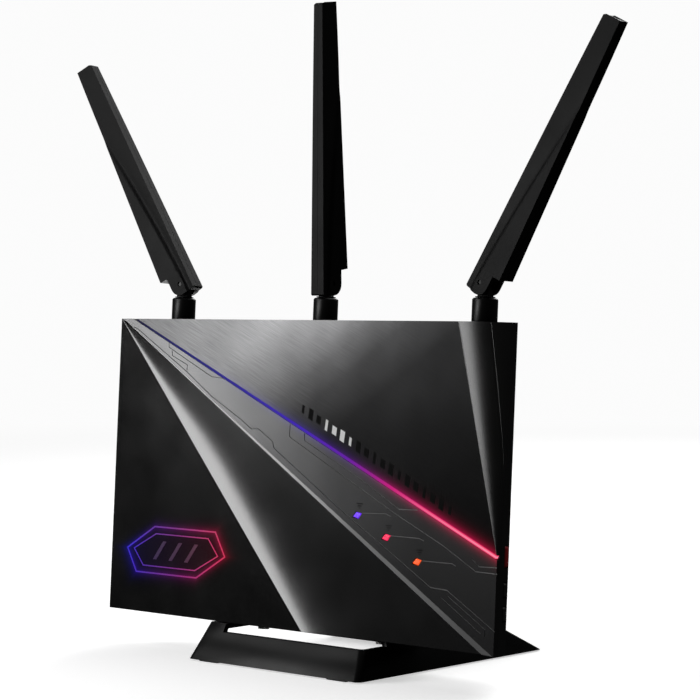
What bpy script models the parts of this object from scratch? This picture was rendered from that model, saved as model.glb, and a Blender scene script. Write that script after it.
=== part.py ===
"""Upright wireless router: slanted slab body on a loop stand, three hinged antennas.

Metres, +Z up, front towards -Y. Body pieces are laid out in a leaning frame:
x along the width, y into the depth, z up the slanted face from its bottom edge.
"""

import math

import bmesh
import bpy
from mathutils import Matrix, Vector

MM = 0.001

# ---- driving dimensions (mm) -------------------------------------------------
BODY_W = 245.0
BODY_H = 145.4
SLAB_T = 8.4
LEAN = math.radians(3.5)
BODY_BOTTOM = 18.0
HOUSING_DEPTH = 36.0
WALL = 2.2
GAP = 0.3

STAND_W = 110.0
STAND_DEPTH = 137.0
STAND_AHEAD = 11.5
STAND_BAR_H = 13.8
STAND_WALL = 3.0
STAND_SIDE_LEAN = 0.30
STAND_FRONT_LEAN = 0.55
STAND_REAR_RUN = 36.0
STAND_POST = 17.0
SADDLE_Y = (14.0, 32.5)
SADDLE_T = 1.9
FOOT_H = 1.0
FOOT_L = 12.0
FOOT_INSET = 14.0

ANT_PITCH = 96.4
ANT_DEPTH = 17.7
ANT_LEN = 133.5
ANT_TILT = math.radians(33.0)
ANT_SWING = math.radians(6.4)
PIVOT_H = 18.2
NUT_D = 11.8
NUT_H = 11.0
BLADE_T0 = 8.8
BLADE_T1 = 5.2
LOBE_R = 5.7
HINGE_CLEAR = 0.55
TONGUE_T = 3.6

PLATE_T = 2.7
CREASE_DEPTH = 0.3
CREASE_X = 8.9
BAND_W = 6.5
BAR_W = 2.0
BAR_END_Z = 42.7
BAR_START_X = 9.7
FACET_X = 26.8
PORT_Z = 24.0
STATUS_LIGHTS = ((40.7, 7.65), (58.6, 9.38), (77.3, 10.77))
JACK_W = 15.6
JACK_H = 13.6

# ---- derived -----------------------------------------------------------------
HW = BODY_W / 2
Y_FRONT = -STAND_DEPTH / 2 + STAND_AHEAD
SEAT = PLATE_T + GAP
POCKET = SEAT + WALL
HOUSING_Y0 = SLAB_T + GAP
HOUSING_X1 = HW - 15.5
HOUSING_X2 = HW - 30.5
HOUSING_TOP = BODY_H - 0.6
BOARD_Y = 12.6
BOARD_T = 1.6
BAR_A = (-HW + BAR_START_X, BODY_H)
BAR_B = (HW, BAR_END_Z)


def clear_scene():
    for obj in list(bpy.data.objects):
        bpy.data.objects.remove(obj, do_unlink=True)


MATERIALS = {}


def material(name, colour, roughness, metallic=0.0, glow=0.0):
    if name not in MATERIALS:
        mat = bpy.data.materials.new(name)
        mat.use_nodes = True
        shader = mat.node_tree.nodes["Principled BSDF"]
        shader.inputs["Base Color"].default_value = (*colour, 1.0)
        shader.inputs["Roughness"].default_value = roughness
        shader.inputs["Metallic"].default_value = metallic
        if glow:
            shader.inputs["Emission Color"].default_value = (*colour, 1.0)
            shader.inputs["Emission Strength"].default_value = glow
        MATERIALS[name] = mat
    return MATERIALS[name]


def add_object(name, bm, mat=None, parent=None):
    bmesh.ops.recalc_face_normals(bm, faces=bm.faces[:])
    mesh = bpy.data.meshes.new(name)
    bm.to_mesh(mesh)
    bm.free()
    obj = bpy.data.objects.new(name, mesh)
    bpy.context.scene.collection.objects.link(obj)
    if parent:
        obj.parent = parent
    if mat:
        mesh.materials.append(mat)
    return obj


def add_empty(name, location=(0, 0, 0), rotation=(0, 0, 0), parent=None):
    obj = bpy.data.objects.new(name, None)
    bpy.context.scene.collection.objects.link(obj)
    obj.location = Vector(location) * MM
    obj.rotation_euler = rotation
    obj.parent = parent
    return obj


def add_solid(bm, points, faces):
    verts = [bm.verts.new(Vector(p) * MM) for p in points]
    for face in faces:
        bm.faces.new([verts[i] for i in face])
    return verts


def add_box(bm, lo, hi):
    (x0, y0, z0), (x1, y1, z1) = lo, hi
    points = [(x, y, z) for z in (z0, z1) for y in (y0, y1) for x in (x0, x1)]
    faces = [(0, 2, 3, 1), (4, 5, 7, 6), (0, 1, 5, 4)]
    faces += [(2, 6, 7, 3), (0, 4, 6, 2), (1, 3, 7, 5)]
    add_solid(bm, points, faces)


def add_prism(bm, outline, depth0, depth1):
    """Prism over an (x, z) outline; depths are numbers or functions of (x, z)."""
    front = []
    back = []
    for x, z in outline:
        y0 = depth0(x, z) if callable(depth0) else depth0
        y1 = depth1(x, z) if callable(depth1) else depth1
        front.append((x, y0, z))
        back.append((x, y1, z))
    n = len(outline)
    faces = [tuple(range(n)), tuple(range(2 * n - 1, n - 1, -1))]
    faces += [(i, n + i, n + (i + 1) % n, (i + 1) % n) for i in range(n)]
    add_solid(bm, front + back, faces)


def add_loft(bm, rings):
    n = len(rings[0])
    points = [p for ring in rings for p in ring]
    faces = [tuple(range(n)), tuple(len(points) - 1 - i for i in range(n))]
    for r in range(len(rings) - 1):
        for i in range(n):
            j = (i + 1) % n
            faces.append((r * n + i, (r + 1) * n + i, (r + 1) * n + j, r * n + j))
    add_solid(bm, points, faces)


def add_lathe(bm, profile, axis="Z", centre=(0, 0, 0), steps=24):
    """Closed (radius, height) profile turned round an axis; radius 0 is allowed."""
    rings = []
    for r, h in profile:
        ring = []
        count = 1 if r == 0 else steps
        for i in range(count):
            a = 2 * math.pi * i / steps
            p = Vector((r * math.cos(a), r * math.sin(a), h))
            if axis == "Y":
                p = Vector((p.x, p.z, -p.y))
            if axis == "X":
                p = Vector((p.z, p.x, p.y))
            ring.append(bm.verts.new((p + Vector(centre)) * MM))
        rings.append(ring)
    n = len(rings)
    for k in range(n):
        a = rings[k]
        b = rings[(k + 1) % n]
        if len(a) == 1 and len(b) == 1:
            continue
        for i in range(steps):
            j = (i + 1) % steps
            if len(a) == 1:
                bm.faces.new((a[0], b[i], b[j]))
            elif len(b) == 1:
                bm.faces.new((a[i], b[0], a[j]))
            else:
                bm.faces.new((a[i], b[i], b[j], a[j]))


def cut(obj, name, build, operation="DIFFERENCE"):
    bm = bmesh.new()
    build(bm)
    cutter = add_object(name, bm, parent=obj.parent)
    cutter.location = obj.location
    cutter.hide_render = True
    cutter.display_type = "WIRE"
    mod = obj.modifiers.new(name, "BOOLEAN")
    mod.operation = operation
    mod.solver = "EXACT"
    mod.object = cutter
    return mod


def new_box(name, lo, hi, mat, parent):
    bm = bmesh.new()
    add_box(bm, lo, hi)
    return add_object(name, bm, mat, parent)


def new_lathe(name, profile, mat, parent, axis="Z", centre=(0, 0, 0), steps=24):
    bm = bmesh.new()
    add_lathe(bm, profile, axis, (0, 0, 0), steps)
    obj = add_object(name, bm, mat, parent)
    obj.location = Vector(centre) * MM
    return obj


def strip_outline(a, b, half, extend=0.0):
    """Four corners of a straight strip of the given half width between two points."""
    ax, az = a
    bx, bz = b
    d = Vector((bx - ax, bz - az)).normalized()
    n = Vector((-d.y, d.x)) * half
    a2 = Vector(a) - d * extend
    b2 = Vector(b) + d * extend
    return [tuple(a2 - n), tuple(b2 - n), tuple(b2 + n), tuple(a2 + n)]


# ---- front -------------------------------------------------------------------
def facet_depth(x):
    """Depth of the left facet, which sinks towards the crease."""
    return CREASE_DEPTH * (x + HW) / (HW + CREASE_X)


def emblem_outline(grow):
    """Generic slanted open hexagon mark with a slash, stroke widened by grow."""
    s = 0.9 + grow
    cx, cz, lx, lz, sh = -77.0, 31.0, 34.0, 11.5, 6.0
    corners = [(-lx, 0), (-lx * 0.62 + sh, lz), (lx * 0.62 + sh, lz)]
    corners += [(lx, 0), (lx * 0.62 - sh, -lz), (-lx * 0.62 - sh, -lz)]
    outer = [(cx + x * (1 + s / lx), cz + z * (1 + s / lz)) for x, z in corners]
    inner = [(cx + x * (1 - s / lx), cz + z * (1 - s / lz)) for x, z in corners]
    return outer, inner


def add_emblem(bm, grow, top, under):
    outer, inner = emblem_outline(grow)
    n = len(outer)
    points = []
    for ring in (outer, inner):
        for off in (top, under):
            points += [(x, facet_depth(x) + off, z) for x, z in ring]
    faces = []
    for i in range(n):
        j = (i + 1) % n
        faces.append((i, j, 2 * n + j, 2 * n + i))
        faces.append((n + j, n + i, 3 * n + i, 3 * n + j))
        faces.append((j, i, n + i, n + j))
        faces.append((2 * n + i, 2 * n + j, 3 * n + j, 3 * n + i))
    add_solid(bm, points, faces)


def facet_cut(bm):
    """Wedge that shapes the tapering facet at the right end."""
    x1 = HW - FACET_X
    e = 4.0
    run = FACET_X
    drop = BODY_H - BAR_END_Z
    # The cutting plane holds (x1, 0, H), (HW, 0, BAR_END_Z) and (HW, SLAB_T, H).
    p = Vector((x1, 0.0, BODY_H))
    q = Vector((HW, 0.0, BAR_END_Z))
    r = Vector((HW, SLAB_T, BODY_H))
    n = (q - p).cross(r - p).normalized()
    if n.y > 0:
        n = -n
    u = (q - p).normalized()
    v = n.cross(u).normalized()
    mid = (p + q + r) / 3
    size = run + drop
    low = [mid + u * a * size + v * b * size for a, b in ((-1, -1), (1, -1), (1, 1), (-1, 1))]
    high = [w + n * (e * 8) for w in low]
    points = [tuple(w) for w in low + high]
    faces = [(0, 1, 2, 3), (7, 6, 5, 4), (0, 4, 5, 1), (1, 5, 6, 2), (2, 6, 7, 3), (3, 7, 4, 0)]
    add_solid(bm, points, faces)


def trim_line_z(x):
    """Height of the plate's diagonal edge at x."""
    return BODY_H * (HW - x) / BODY_W


def status_centres():
    return [(x, trim_line_z(x) + rise) for x, rise in STATUS_LIGHTS]


def lens_outline(c, half_w, half_h, slant=1.0):
    x, z = c
    return [
        (x - half_w - slant, z - half_h + 0.4),
        (x + half_w - slant, z - half_h - 0.4),
        (x + half_w + slant, z + half_h - 0.4),
        (x - half_w + slant, z + half_h + 0.4),
    ]


# Side buttons sit in the side wall behind the pocket floor: (height, length) of each.
SIDE_BUTTONS = {"boost_button": (43.0, 9.4), "wps_button": (28.5, 6.4), "wifi_button": (18.0, 6.4)}
SIDE_BUTTON_T = (SLAB_T - POCKET) / 2 - GAP
SIDE_BUTTON_Y = POCKET + SIDE_BUTTON_T + GAP + 0.1


def build_front(frame, mats):
    bx = HW - BAND_W
    front = [(-HW, 0, BODY_H), (-HW, 0, 0), (CREASE_X, CREASE_DEPTH, 0), (bx, SEAT, 0)]
    front += [(-HW, SEAT, BODY_H), (HW, SEAT, 0), (HW, SEAT, BODY_H)]
    back = [(-HW, SLAB_T, BODY_H), (-HW, SLAB_T, 0), (HW, SLAB_T, 0), (HW, SLAB_T, BODY_H)]
    faces = [(0, 1, 2), (0, 2, 3), (0, 3, 4), (4, 3, 5, 6)]
    faces += [(0, 4, 7, 8, 1), (4, 6, 10, 7), (6, 5, 9, 10), (1, 8, 9, 5, 3, 2), (7, 10, 9, 8)]
    bm = bmesh.new()
    add_solid(bm, front + back, faces)
    panel = add_object("front_panel", bm, mats["gloss"], frame)

    def pocket(b):
        w = WALL
        outline = [(-HW + w, w), (HW - w, w), (HW - w, BAR_END_Z + 9), (HW - FACET_X - w, BODY_H - w)]
        outline.append((-HW + w, BODY_H - w))
        add_prism(b, outline, POCKET, SLAB_T + 5)

    def button_holes(b):
        for z, length in SIDE_BUTTONS.values():
            h = length / 2 + GAP
            t = SIDE_BUTTON_T + GAP
            add_box(b, (HW - WALL - 2, SIDE_BUTTON_Y - t, z - h), (HW + 3, SIDE_BUTTON_Y + t, z + h))

    cut(panel, "cut_panel_pocket", pocket)
    cut(panel, "cut_panel_facet", facet_cut)
    cut(panel, "cut_panel_emblem", lambda b: add_emblem(b, GAP, -4.0, 1.4))
    cut(panel, "cut_panel_buttons", button_holes)

    off = 1.0
    outline0 = [(-HW + off + GAP, BODY_H), (HW - 0.8, 0), (HW, 0), (HW, BODY_H)]
    outline1 = [(-HW + off, BODY_H), (bx + off, 0), (HW, 0), (HW, BODY_H)]
    points = [(x, 0, z) for x, z in outline0] + [(x, PLATE_T, z) for x, z in outline1]
    faces = [(0, 1, 2, 3), (7, 6, 5, 4), (0, 4, 5, 1), (1, 5, 6, 2), (2, 6, 7, 3), (3, 7, 4, 0)]
    bm = bmesh.new()
    add_solid(bm, points, faces)
    plate = add_object("brushed_plate", bm, mats["brushed"], frame)

    groove = strip_outline(BAR_A, BAR_B, BAR_W / 2 + GAP, 12.0)
    cut(plate, "cut_plate_facet", facet_cut)
    cut(plate, "cut_plate_groove", lambda b: add_prism(b, groove, -3.0, 2.0))

    def lens_holes(b):
        for c in status_centres():
            add_prism(b, lens_outline(c, 1.6 + GAP, 1.1 + GAP), -3.0, PLATE_T + 3)

    cut(plate, "cut_plate_lenses", lens_holes)

    a, b2 = Vector(BAR_A), Vector(BAR_B)
    d = (b2 - a).normalized()
    bm = bmesh.new()
    add_prism(bm, strip_outline(tuple(a + d * 3.5), tuple(b2 - d * 1.4), BAR_W / 2), 0.1, 1.7)
    add_object("light_bar", bm, mats["glow"], frame)

    bm = bmesh.new()
    add_emblem(bm, 0.0, 0.1, 1.1)
    add_object("emblem_lens", bm, mats["glow"], frame)

    for c, colour in zip(status_centres(), ("violet", "rose", "amber")):
        bm = bmesh.new()
        add_prism(bm, lens_outline(c, 1.6, 1.1), 0.1, PLATE_T - 0.2)
        add_object("status_lens_" + colour, bm, mats["glow"], frame)

    mid_a = a + d * 26
    mid_b = b2 - d * 26
    bm = bmesh.new()
    outline = strip_outline(tuple(mid_a), tuple(mid_b), 5.0)
    add_prism(bm, outline, POCKET + GAP, POCKET + GAP + 1.2)
    add_object("light_board", bm, mats["board"], frame)


# ---- rear --------------------------------------------------------------------
USB_X = (HOUSING_X2 - 12.0, HOUSING_X2 - 30.0)
RESET_X = HOUSING_X2 - 43.0
WAN_X = HOUSING_X2 - 57.0
LAN_X = -10.0
DC_X = 34.0 - HOUSING_X2
POWER_X = 16.0 - HOUSING_X2
REAR_TOP = BODY_H - 14.0
VENT_H = 22.0
VENT_Z = (REAR_TOP - 73.4, REAR_TOP - 43.4)
VENT_PITCH = 14.0
USB_W = 7.2
USB_H = 14.6
LAN_W = 62.0


def rear_ring(y, half, z0, z1):
    return [(-half, y, z0), (half, y, z0), (half, y, z1), (-half, y, z1)]


def build_rear(frame, mats):
    y1 = HOUSING_Y0 + 18.3
    y2 = HOUSING_DEPTH
    z0 = 0.6
    bm = bmesh.new()
    rings = [rear_ring(HOUSING_Y0, HW - 1.2, z0, HOUSING_TOP), rear_ring(y1, HOUSING_X1, z0, HOUSING_TOP)]
    rings.append(rear_ring(y2, HOUSING_X2, z0, REAR_TOP))
    add_loft(bm, rings)
    housing = add_object("rear_housing", bm, mats["matte"], frame)

    def cavity(b):
        w = WALL
        inner = [rear_ring(HOUSING_Y0 - 3, HW - 1.2 - w, z0 + w, HOUSING_TOP - w)]
        inner.append(rear_ring(HOUSING_Y0, HW - 1.2 - w, z0 + w, HOUSING_TOP - w))
        inner.append(rear_ring(y1 - 0.6, HOUSING_X1 - w, z0 + w, HOUSING_TOP - w))
        inner.append(rear_ring(y2 - w, HOUSING_X2 - w, z0 + w, REAR_TOP - w))
        add_loft(b, inner)

    def slots(b):
        for z in VENT_Z:
            for i in range(11):
                x = (i - 5) * VENT_PITCH
                add_box(b, (x - 1.6, y2 - 5, z), (x + 1.6, y2 + 3, z + VENT_H))

    def port_holes(b):
        lo, hi = y2 - 5, y2 + 3
        g = GAP

        def hole(x, w, h):
            add_box(b, (x - w / 2 - g, lo, PORT_Z - h / 2 - g), (x + w / 2 + g, hi, PORT_Z + h / 2 + g))

        for x in USB_X:
            hole(x, USB_W, USB_H)
        hole(WAN_X, JACK_W, JACK_H)
        hole(LAN_X, LAN_W, JACK_H)
        hole(DC_X, 9.0, 11.0)
        for x, r in ((RESET_X, 1.3), (POWER_X, 4.0)):
            prof = [(0, lo), (r + g, lo), (r + g, hi), (0, hi)]
            add_lathe(b, prof, "Y", (x, 0, PORT_Z), 24)

    def top_holes(b):
        for i in (-1, 0, 1):
            prof = [(0, HOUSING_TOP - 8), (3.3, HOUSING_TOP - 8), (3.3, HOUSING_TOP + 5), (0, HOUSING_TOP + 5)]
            add_lathe(b, prof, "Z", (i * ANT_PITCH, ANT_DEPTH, 0), 24)
        for x in STAND_SCREW_X:
            prof = [(0, -3), (1.6, -3), (1.6, 6), (0, 6)]
            add_lathe(b, prof, "Z", (x, STAND_SCREW_Y, 0), 16)

    def screw_holes(b):
        for x, z in CASE_SCREWS:
            prof = [(0, y2 - 5), (1.9, y2 - 5), (1.9, y2 - 1.0), (3.4, y2 - 1.0), (3.4, y2 + 3), (0, y2 + 3)]
            add_lathe(b, prof, "Y", (x, 0, z), 20)

    cut(housing, "cut_housing_cavity", cavity)
    cut(housing, "cut_housing_slots", slots)
    cut(housing, "cut_housing_ports", port_holes)
    cut(housing, "cut_housing_top", top_holes)
    cut(housing, "cut_housing_screws", screw_holes)

    for k, (x, z) in enumerate(CASE_SCREWS):
        prof = [(0, y2 - 8), (1.5, y2 - 8), (1.5, y2 - 0.7), (3.0, y2 - 0.7), (3.0, y2 + 0.2), (0, y2 + 0.2)]
        obj = new_lathe("case_screw_%d" % (k + 1), prof, mats["steel"], frame, "Y", (x, 0, z), 20)
        cut_recess(obj, "cut_case_screw_%d" % (k + 1), y2)


CASE_SCREWS = [(s * (HOUSING_X2 - 8.0), z) for z in (REAR_TOP - 11.4, 8.5) for s in (-1, 1)]
STAND_SCREW_X = (-38.0, 38.0)
STAND_SCREW_Y = 24.0


def cut_recess(obj, name, y):
    def cross(b):
        add_box(b, (-1.6, y - 0.5, -0.4), (1.6, y + 2, 0.4))

    cut(obj, name, cross)


def build_electronics(frame, mats):
    y0 = BOARD_Y
    y1 = BOARD_Y + BOARD_T
    half = HOUSING_X2 - 4.0
    board_top = REAR_TOP - 27.4
    new_box("main_board", (-half, y0, 6), (half, y1, board_top), mats["board"], frame)

    sink_z0 = PORT_Z + 22.0
    sink_z1 = board_top - 8.0
    bm = bmesh.new()
    add_box(bm, (-20, y1 + 1.4, sink_z0), (50, y1 + 3.4, sink_z1))
    sink = add_object("heat_sink", bm, mats["alu"], frame)

    def fins(b):
        for i in range(8):
            x = -20 + 1 + i * (68 - 1.4) / 7
            add_box(b, (x, y1 + 3.0, sink_z0 + 0.5), (x + 1.4, HOUSING_Y0 + 18.5, sink_z1 - 0.5))

    cut(sink, "add_sink_fins", fins, "UNION")
    mid = (sink_z0 + sink_z1) / 2
    new_box("thermal_pad", (0, y1 + 0.1, mid - 11), (30, y1 + 1.3, mid + 11), mats["pad"], frame)
    can = ((-76, y1 + 0.1, sink_z0 + 4), (-34, y1 + 3.6, board_top - 14))
    new_box("shield_can", *can, mats["steel"], frame)
    strip = ((-60, y0, board_top + 4), (-22, y0 + 0.8, board_top + 20))
    new_box("internal_antenna", *strip, mats["board"], frame)

    back = HOUSING_DEPTH
    start = y1 + 0.1

    def jack(name, x, width, openings, mat):
        body = new_box(
            name,
            (x - width / 2, start, PORT_Z - JACK_H / 2),
            (x + width / 2, back - 0.2, PORT_Z + JACK_H / 2),
            mat,
            frame,
        )

        def sockets(b):
            for cx in openings:
                add_box(b, (cx - 5.9, back - 13, PORT_Z - 3.6), (cx + 5.9, back + 3, PORT_Z + 4.6))

        def latches(b):
            for cx in openings:
                add_box(b, (cx - 3.0, back - 11, PORT_Z - 5.4), (cx + 3.0, back + 3, PORT_Z - 3.2))

        cut(body, "cut_" + name, sockets)
        cut(body, "cut_latch_" + name, latches)

    jack("wan_jack", WAN_X, JACK_W, [WAN_X], mats["dark"])
    pitch = LAN_W / 4
    jack("lan_jack_block", LAN_X, LAN_W, [LAN_X + (i - 1.5) * pitch for i in range(4)], mats["dark"])

    for name, x in zip(("usb_port_a", "usb_port_b"), USB_X):
        obj = new_box(
            name,
            (x - USB_W / 2, start, PORT_Z - USB_H / 2),
            (x + USB_W / 2, back - 0.2, PORT_Z + USB_H / 2),
            mats["steel"],
            frame,
        )

        def mouth(b, x=x):
            add_box(b, (x - 2.7, back - 13, PORT_Z - 6.4), (x + 2.7, back + 3, PORT_Z + 6.4))

        cut(obj, "cut_" + name, mouth)

    dc = new_box(
        "dc_jack",
        (DC_X - 4.5, start, PORT_Z - 5.5),
        (DC_X + 4.5, back - 0.2, PORT_Z + 5.5),
        mats["dark"],
        frame,
    )

    def barrel(b):
        lo = back - 10
        hi = back + 3
        prof = [(1.0, lo), (3.0, lo), (3.0, hi), (1.0, hi)]
        add_lathe(b, prof, "Y", (DC_X, 0, PORT_Z), 24)

    def shorten(b):
        prof = [(0, back - 1.5), (1.4, back - 1.5), (1.4, back + 3), (0, back + 3)]
        add_lathe(b, prof, "Y", (DC_X, 0, PORT_Z), 24)

    cut(dc, "cut_dc_barrel", barrel)
    cut(dc, "cut_dc_pin", shorten)


def build_buttons(frame, mats):
    back = HOUSING_DEPTH
    prof = [(0, back - 8), (5.0, back - 8), (5.0, back - 5.7), (4.0, back - 5.7), (4.0, back + 1.8)]
    prof += [(3.4, back + 2.3), (0, back + 2.3)]
    base = back - 8
    prof = [(r, h - base) for r, h in prof]
    new_lathe("power_button", prof, mats["dark"], frame, "Y", (POWER_X, base, PORT_Z), 28)

    base = back - 6
    prof = [(0, 0), (2.4, 0), (2.4, 1.6), (1.3, 1.6), (1.3, 5.2), (0, 5.2)]
    new_lathe("reset_button", prof, mats["dark"], frame, "Y", (RESET_X, base, PORT_Z), 20)

    for name, (z, length) in SIDE_BUTTONS.items():
        bm = bmesh.new()
        h = length / 2
        t = SIDE_BUTTON_T
        x0 = -WALL - 0.9
        outline = [(x0, -h), (-0.5, -h), (0.2, -h + 0.8), (0.2, h - 0.8), (-0.5, h), (x0, h)]
        outline += [(x0, h + 0.7), (x0 - 1.2, h + 0.7), (x0 - 1.2, -h - 0.7), (x0, -h - 0.7)]
        add_prism(bm, outline, -t, t)
        mat = mats["red"] if name == "boost_button" else mats["dark"]
        obj = add_object(name, bm, mat, frame)
        obj.location = Vector((HW, SIDE_BUTTON_Y, z)) * MM


# ---- stand -------------------------------------------------------------------
def stand_section(inset, z):
    """Four corners of the sloping stand shell at height z, inset by a wall."""
    rise = z - FOOT_H / 2
    half = STAND_W / 2 - STAND_SIDE_LEAN * rise - inset
    front = -STAND_DEPTH / 2 + STAND_FRONT_LEAN * rise + inset
    slope = STAND_REAR_RUN / BODY_BOTTOM
    rear = STAND_DEPTH / 2 - slope * rise - inset * 1.6
    return [(-half, front, z), (half, front, z), (half, rear, z), (-half, rear, z)]


def rounded_section(inset, z, radius, steps=4):
    c = stand_section(inset, z)
    centres = [(1, 1), (-1, 1), (-1, -1), (1, -1)]
    ring = []
    for k, (x, y, zz) in enumerate(c):
        sx, sy = centres[k]
        ox, oy = x + sx * radius, y + sy * radius
        start = math.pi + k * math.pi / 2
        for i in range(steps + 1):
            a = start + i * math.pi / 2 / steps
            ring.append((ox + radius * math.cos(a), oy + radius * math.sin(a), zz))
    return ring


def build_stand(frame, mats):
    top = BODY_BOTTOM - 0.4
    bm = bmesh.new()
    add_loft(bm, [rounded_section(0, FOOT_H * 0.5, 3.2), rounded_section(0, top, 3.2)])
    stand = add_object("stand", bm, mats["matte"], None)

    def inside(b):
        t = STAND_WALL
        lo = rounded_section(t, -3, 2.0)
        hi = rounded_section(t, BODY_BOTTOM + 4, 2.0)
        add_loft(b, [lo, hi])

    def under_body(b):
        # Everything above the underside of the leaning body is taken away.
        s = math.sin(LEAN)
        y0 = Y_FRONT - 1.5
        y1 = Y_FRONT + HOUSING_DEPTH + 4
        z0 = BODY_BOTTOM - GAP
        pts = [(y0, z0), (y1, z0 - s * HOUSING_DEPTH), (y1, z0 + 9), (y0, z0 + 9)]
        verts = [(x, y, z) for x in (-70, 70) for y, z in pts]
        faces = [(0, 1, 2, 3), (7, 6, 5, 4), (0, 4, 5, 1), (1, 5, 6, 2), (2, 6, 7, 3), (3, 7, 4, 0)]
        add_solid(b, verts, faces)

    post = STAND_W / 2 - STAND_POST

    def window(b):
        # Open front above the bar, running round the right corner to the saddle.
        y0 = -STAND_DEPTH / 2 - 5
        y1 = Y_FRONT + 12.6
        z0 = STAND_BAR_H
        side = STAND_W / 2 + 4
        outline = [(-post, z0), (side, z0), (side, z0 + 12), (-post, z0 + 12)]
        add_prism(b, outline, y0, y1)

    def arch(b):
        # Cable opening in the left wall.
        y0 = Y_FRONT + 9.7
        y1 = STAND_DEPTH / 2 - 34
        x0 = -STAND_W / 2 - 5
        add_box(b, (x0, y0, -3), (x0 + 16, y1, STAND_BAR_H - 0.6))

    cut(stand, "cut_stand_inside", inside)
    cut(stand, "cut_stand_window", window)
    cut(stand, "cut_stand_arch", arch)

    bm = bmesh.new()
    half = STAND_W / 2 - STAND_WALL - 2.0
    add_box(bm, (-half, SADDLE_Y[0], -SADDLE_T), (half, SADDLE_Y[1], 0))
    saddle = add_object("add_stand_saddle", bm, None, frame)
    saddle.hide_render = True
    saddle.display_type = "WIRE"
    mod = stand.modifiers.new("saddle", "BOOLEAN")
    mod.operation = "UNION"
    mod.solver = "EXACT"
    mod.object = saddle
    cut(stand, "cut_stand_clear", under_body)

    bm = bmesh.new()
    for x in STAND_SCREW_X:
        add_lathe(bm, [(0, -6), (1.6, -6), (1.6, 6), (0, 6)], "Z", (x, STAND_SCREW_Y, 0), 16)
    holes = add_object("cut_stand_screws", bm, None, frame)
    holes.hide_render = True
    holes.display_type = "WIRE"
    mod = stand.modifiers.new("screws", "BOOLEAN")
    mod.operation = "DIFFERENCE"
    mod.solver = "EXACT"
    mod.object = holes

    for k, x in enumerate(STAND_SCREW_X):
        prof = [(0, -3.9), (2.8, -3.9), (2.8, -2.2), (1.3, -2.2), (1.3, 4.0), (0, 4.0)]
        new_lathe("stand_screw_%d" % (k + 1), prof, mats["steel"], frame, "Z", (x, STAND_SCREW_Y, 0), 20)

    ends = (("front", -STAND_DEPTH / 2 + 1.1), ("rear", STAND_DEPTH / 2 - 2.1))
    for side, sx in (("left", -1), ("right", 1)):
        for end, y in ends:
            x = sx * (STAND_W / 2 - FOOT_INSET)
            name = "foot_%s_%s" % (end, side)
            lo, hi = (x - FOOT_L / 2, y - 0.9, 0), (x + FOOT_L / 2, y + 0.9, FOOT_H * 0.5 - 0.02)
            new_box(name, lo, hi, mats["rubber"], None)


# ---- antennas ----------------------------------------------------------------
def blade_half(z):
    return (BLADE_T0 + (BLADE_T1 - BLADE_T0) * z / ANT_LEN) / 2


def blade_outline():
    r = LOBE_R
    pts = [(6.0, -r), (6.6, -r + 0.6), (6.0, ANT_LEN - 1.6), (4.6, ANT_LEN - 0.6), (-4.0, ANT_LEN + 0.5)]
    pts += [(-10.2, 7.2), (-r, 6.4), (-r, 0.0)]
    for i in range(1, 5):
        a = math.pi + i * math.pi / 2 / 5
        pts.append((r * math.cos(a), r * math.sin(a)))
    pts.append((0.0, -r))
    return pts


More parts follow.
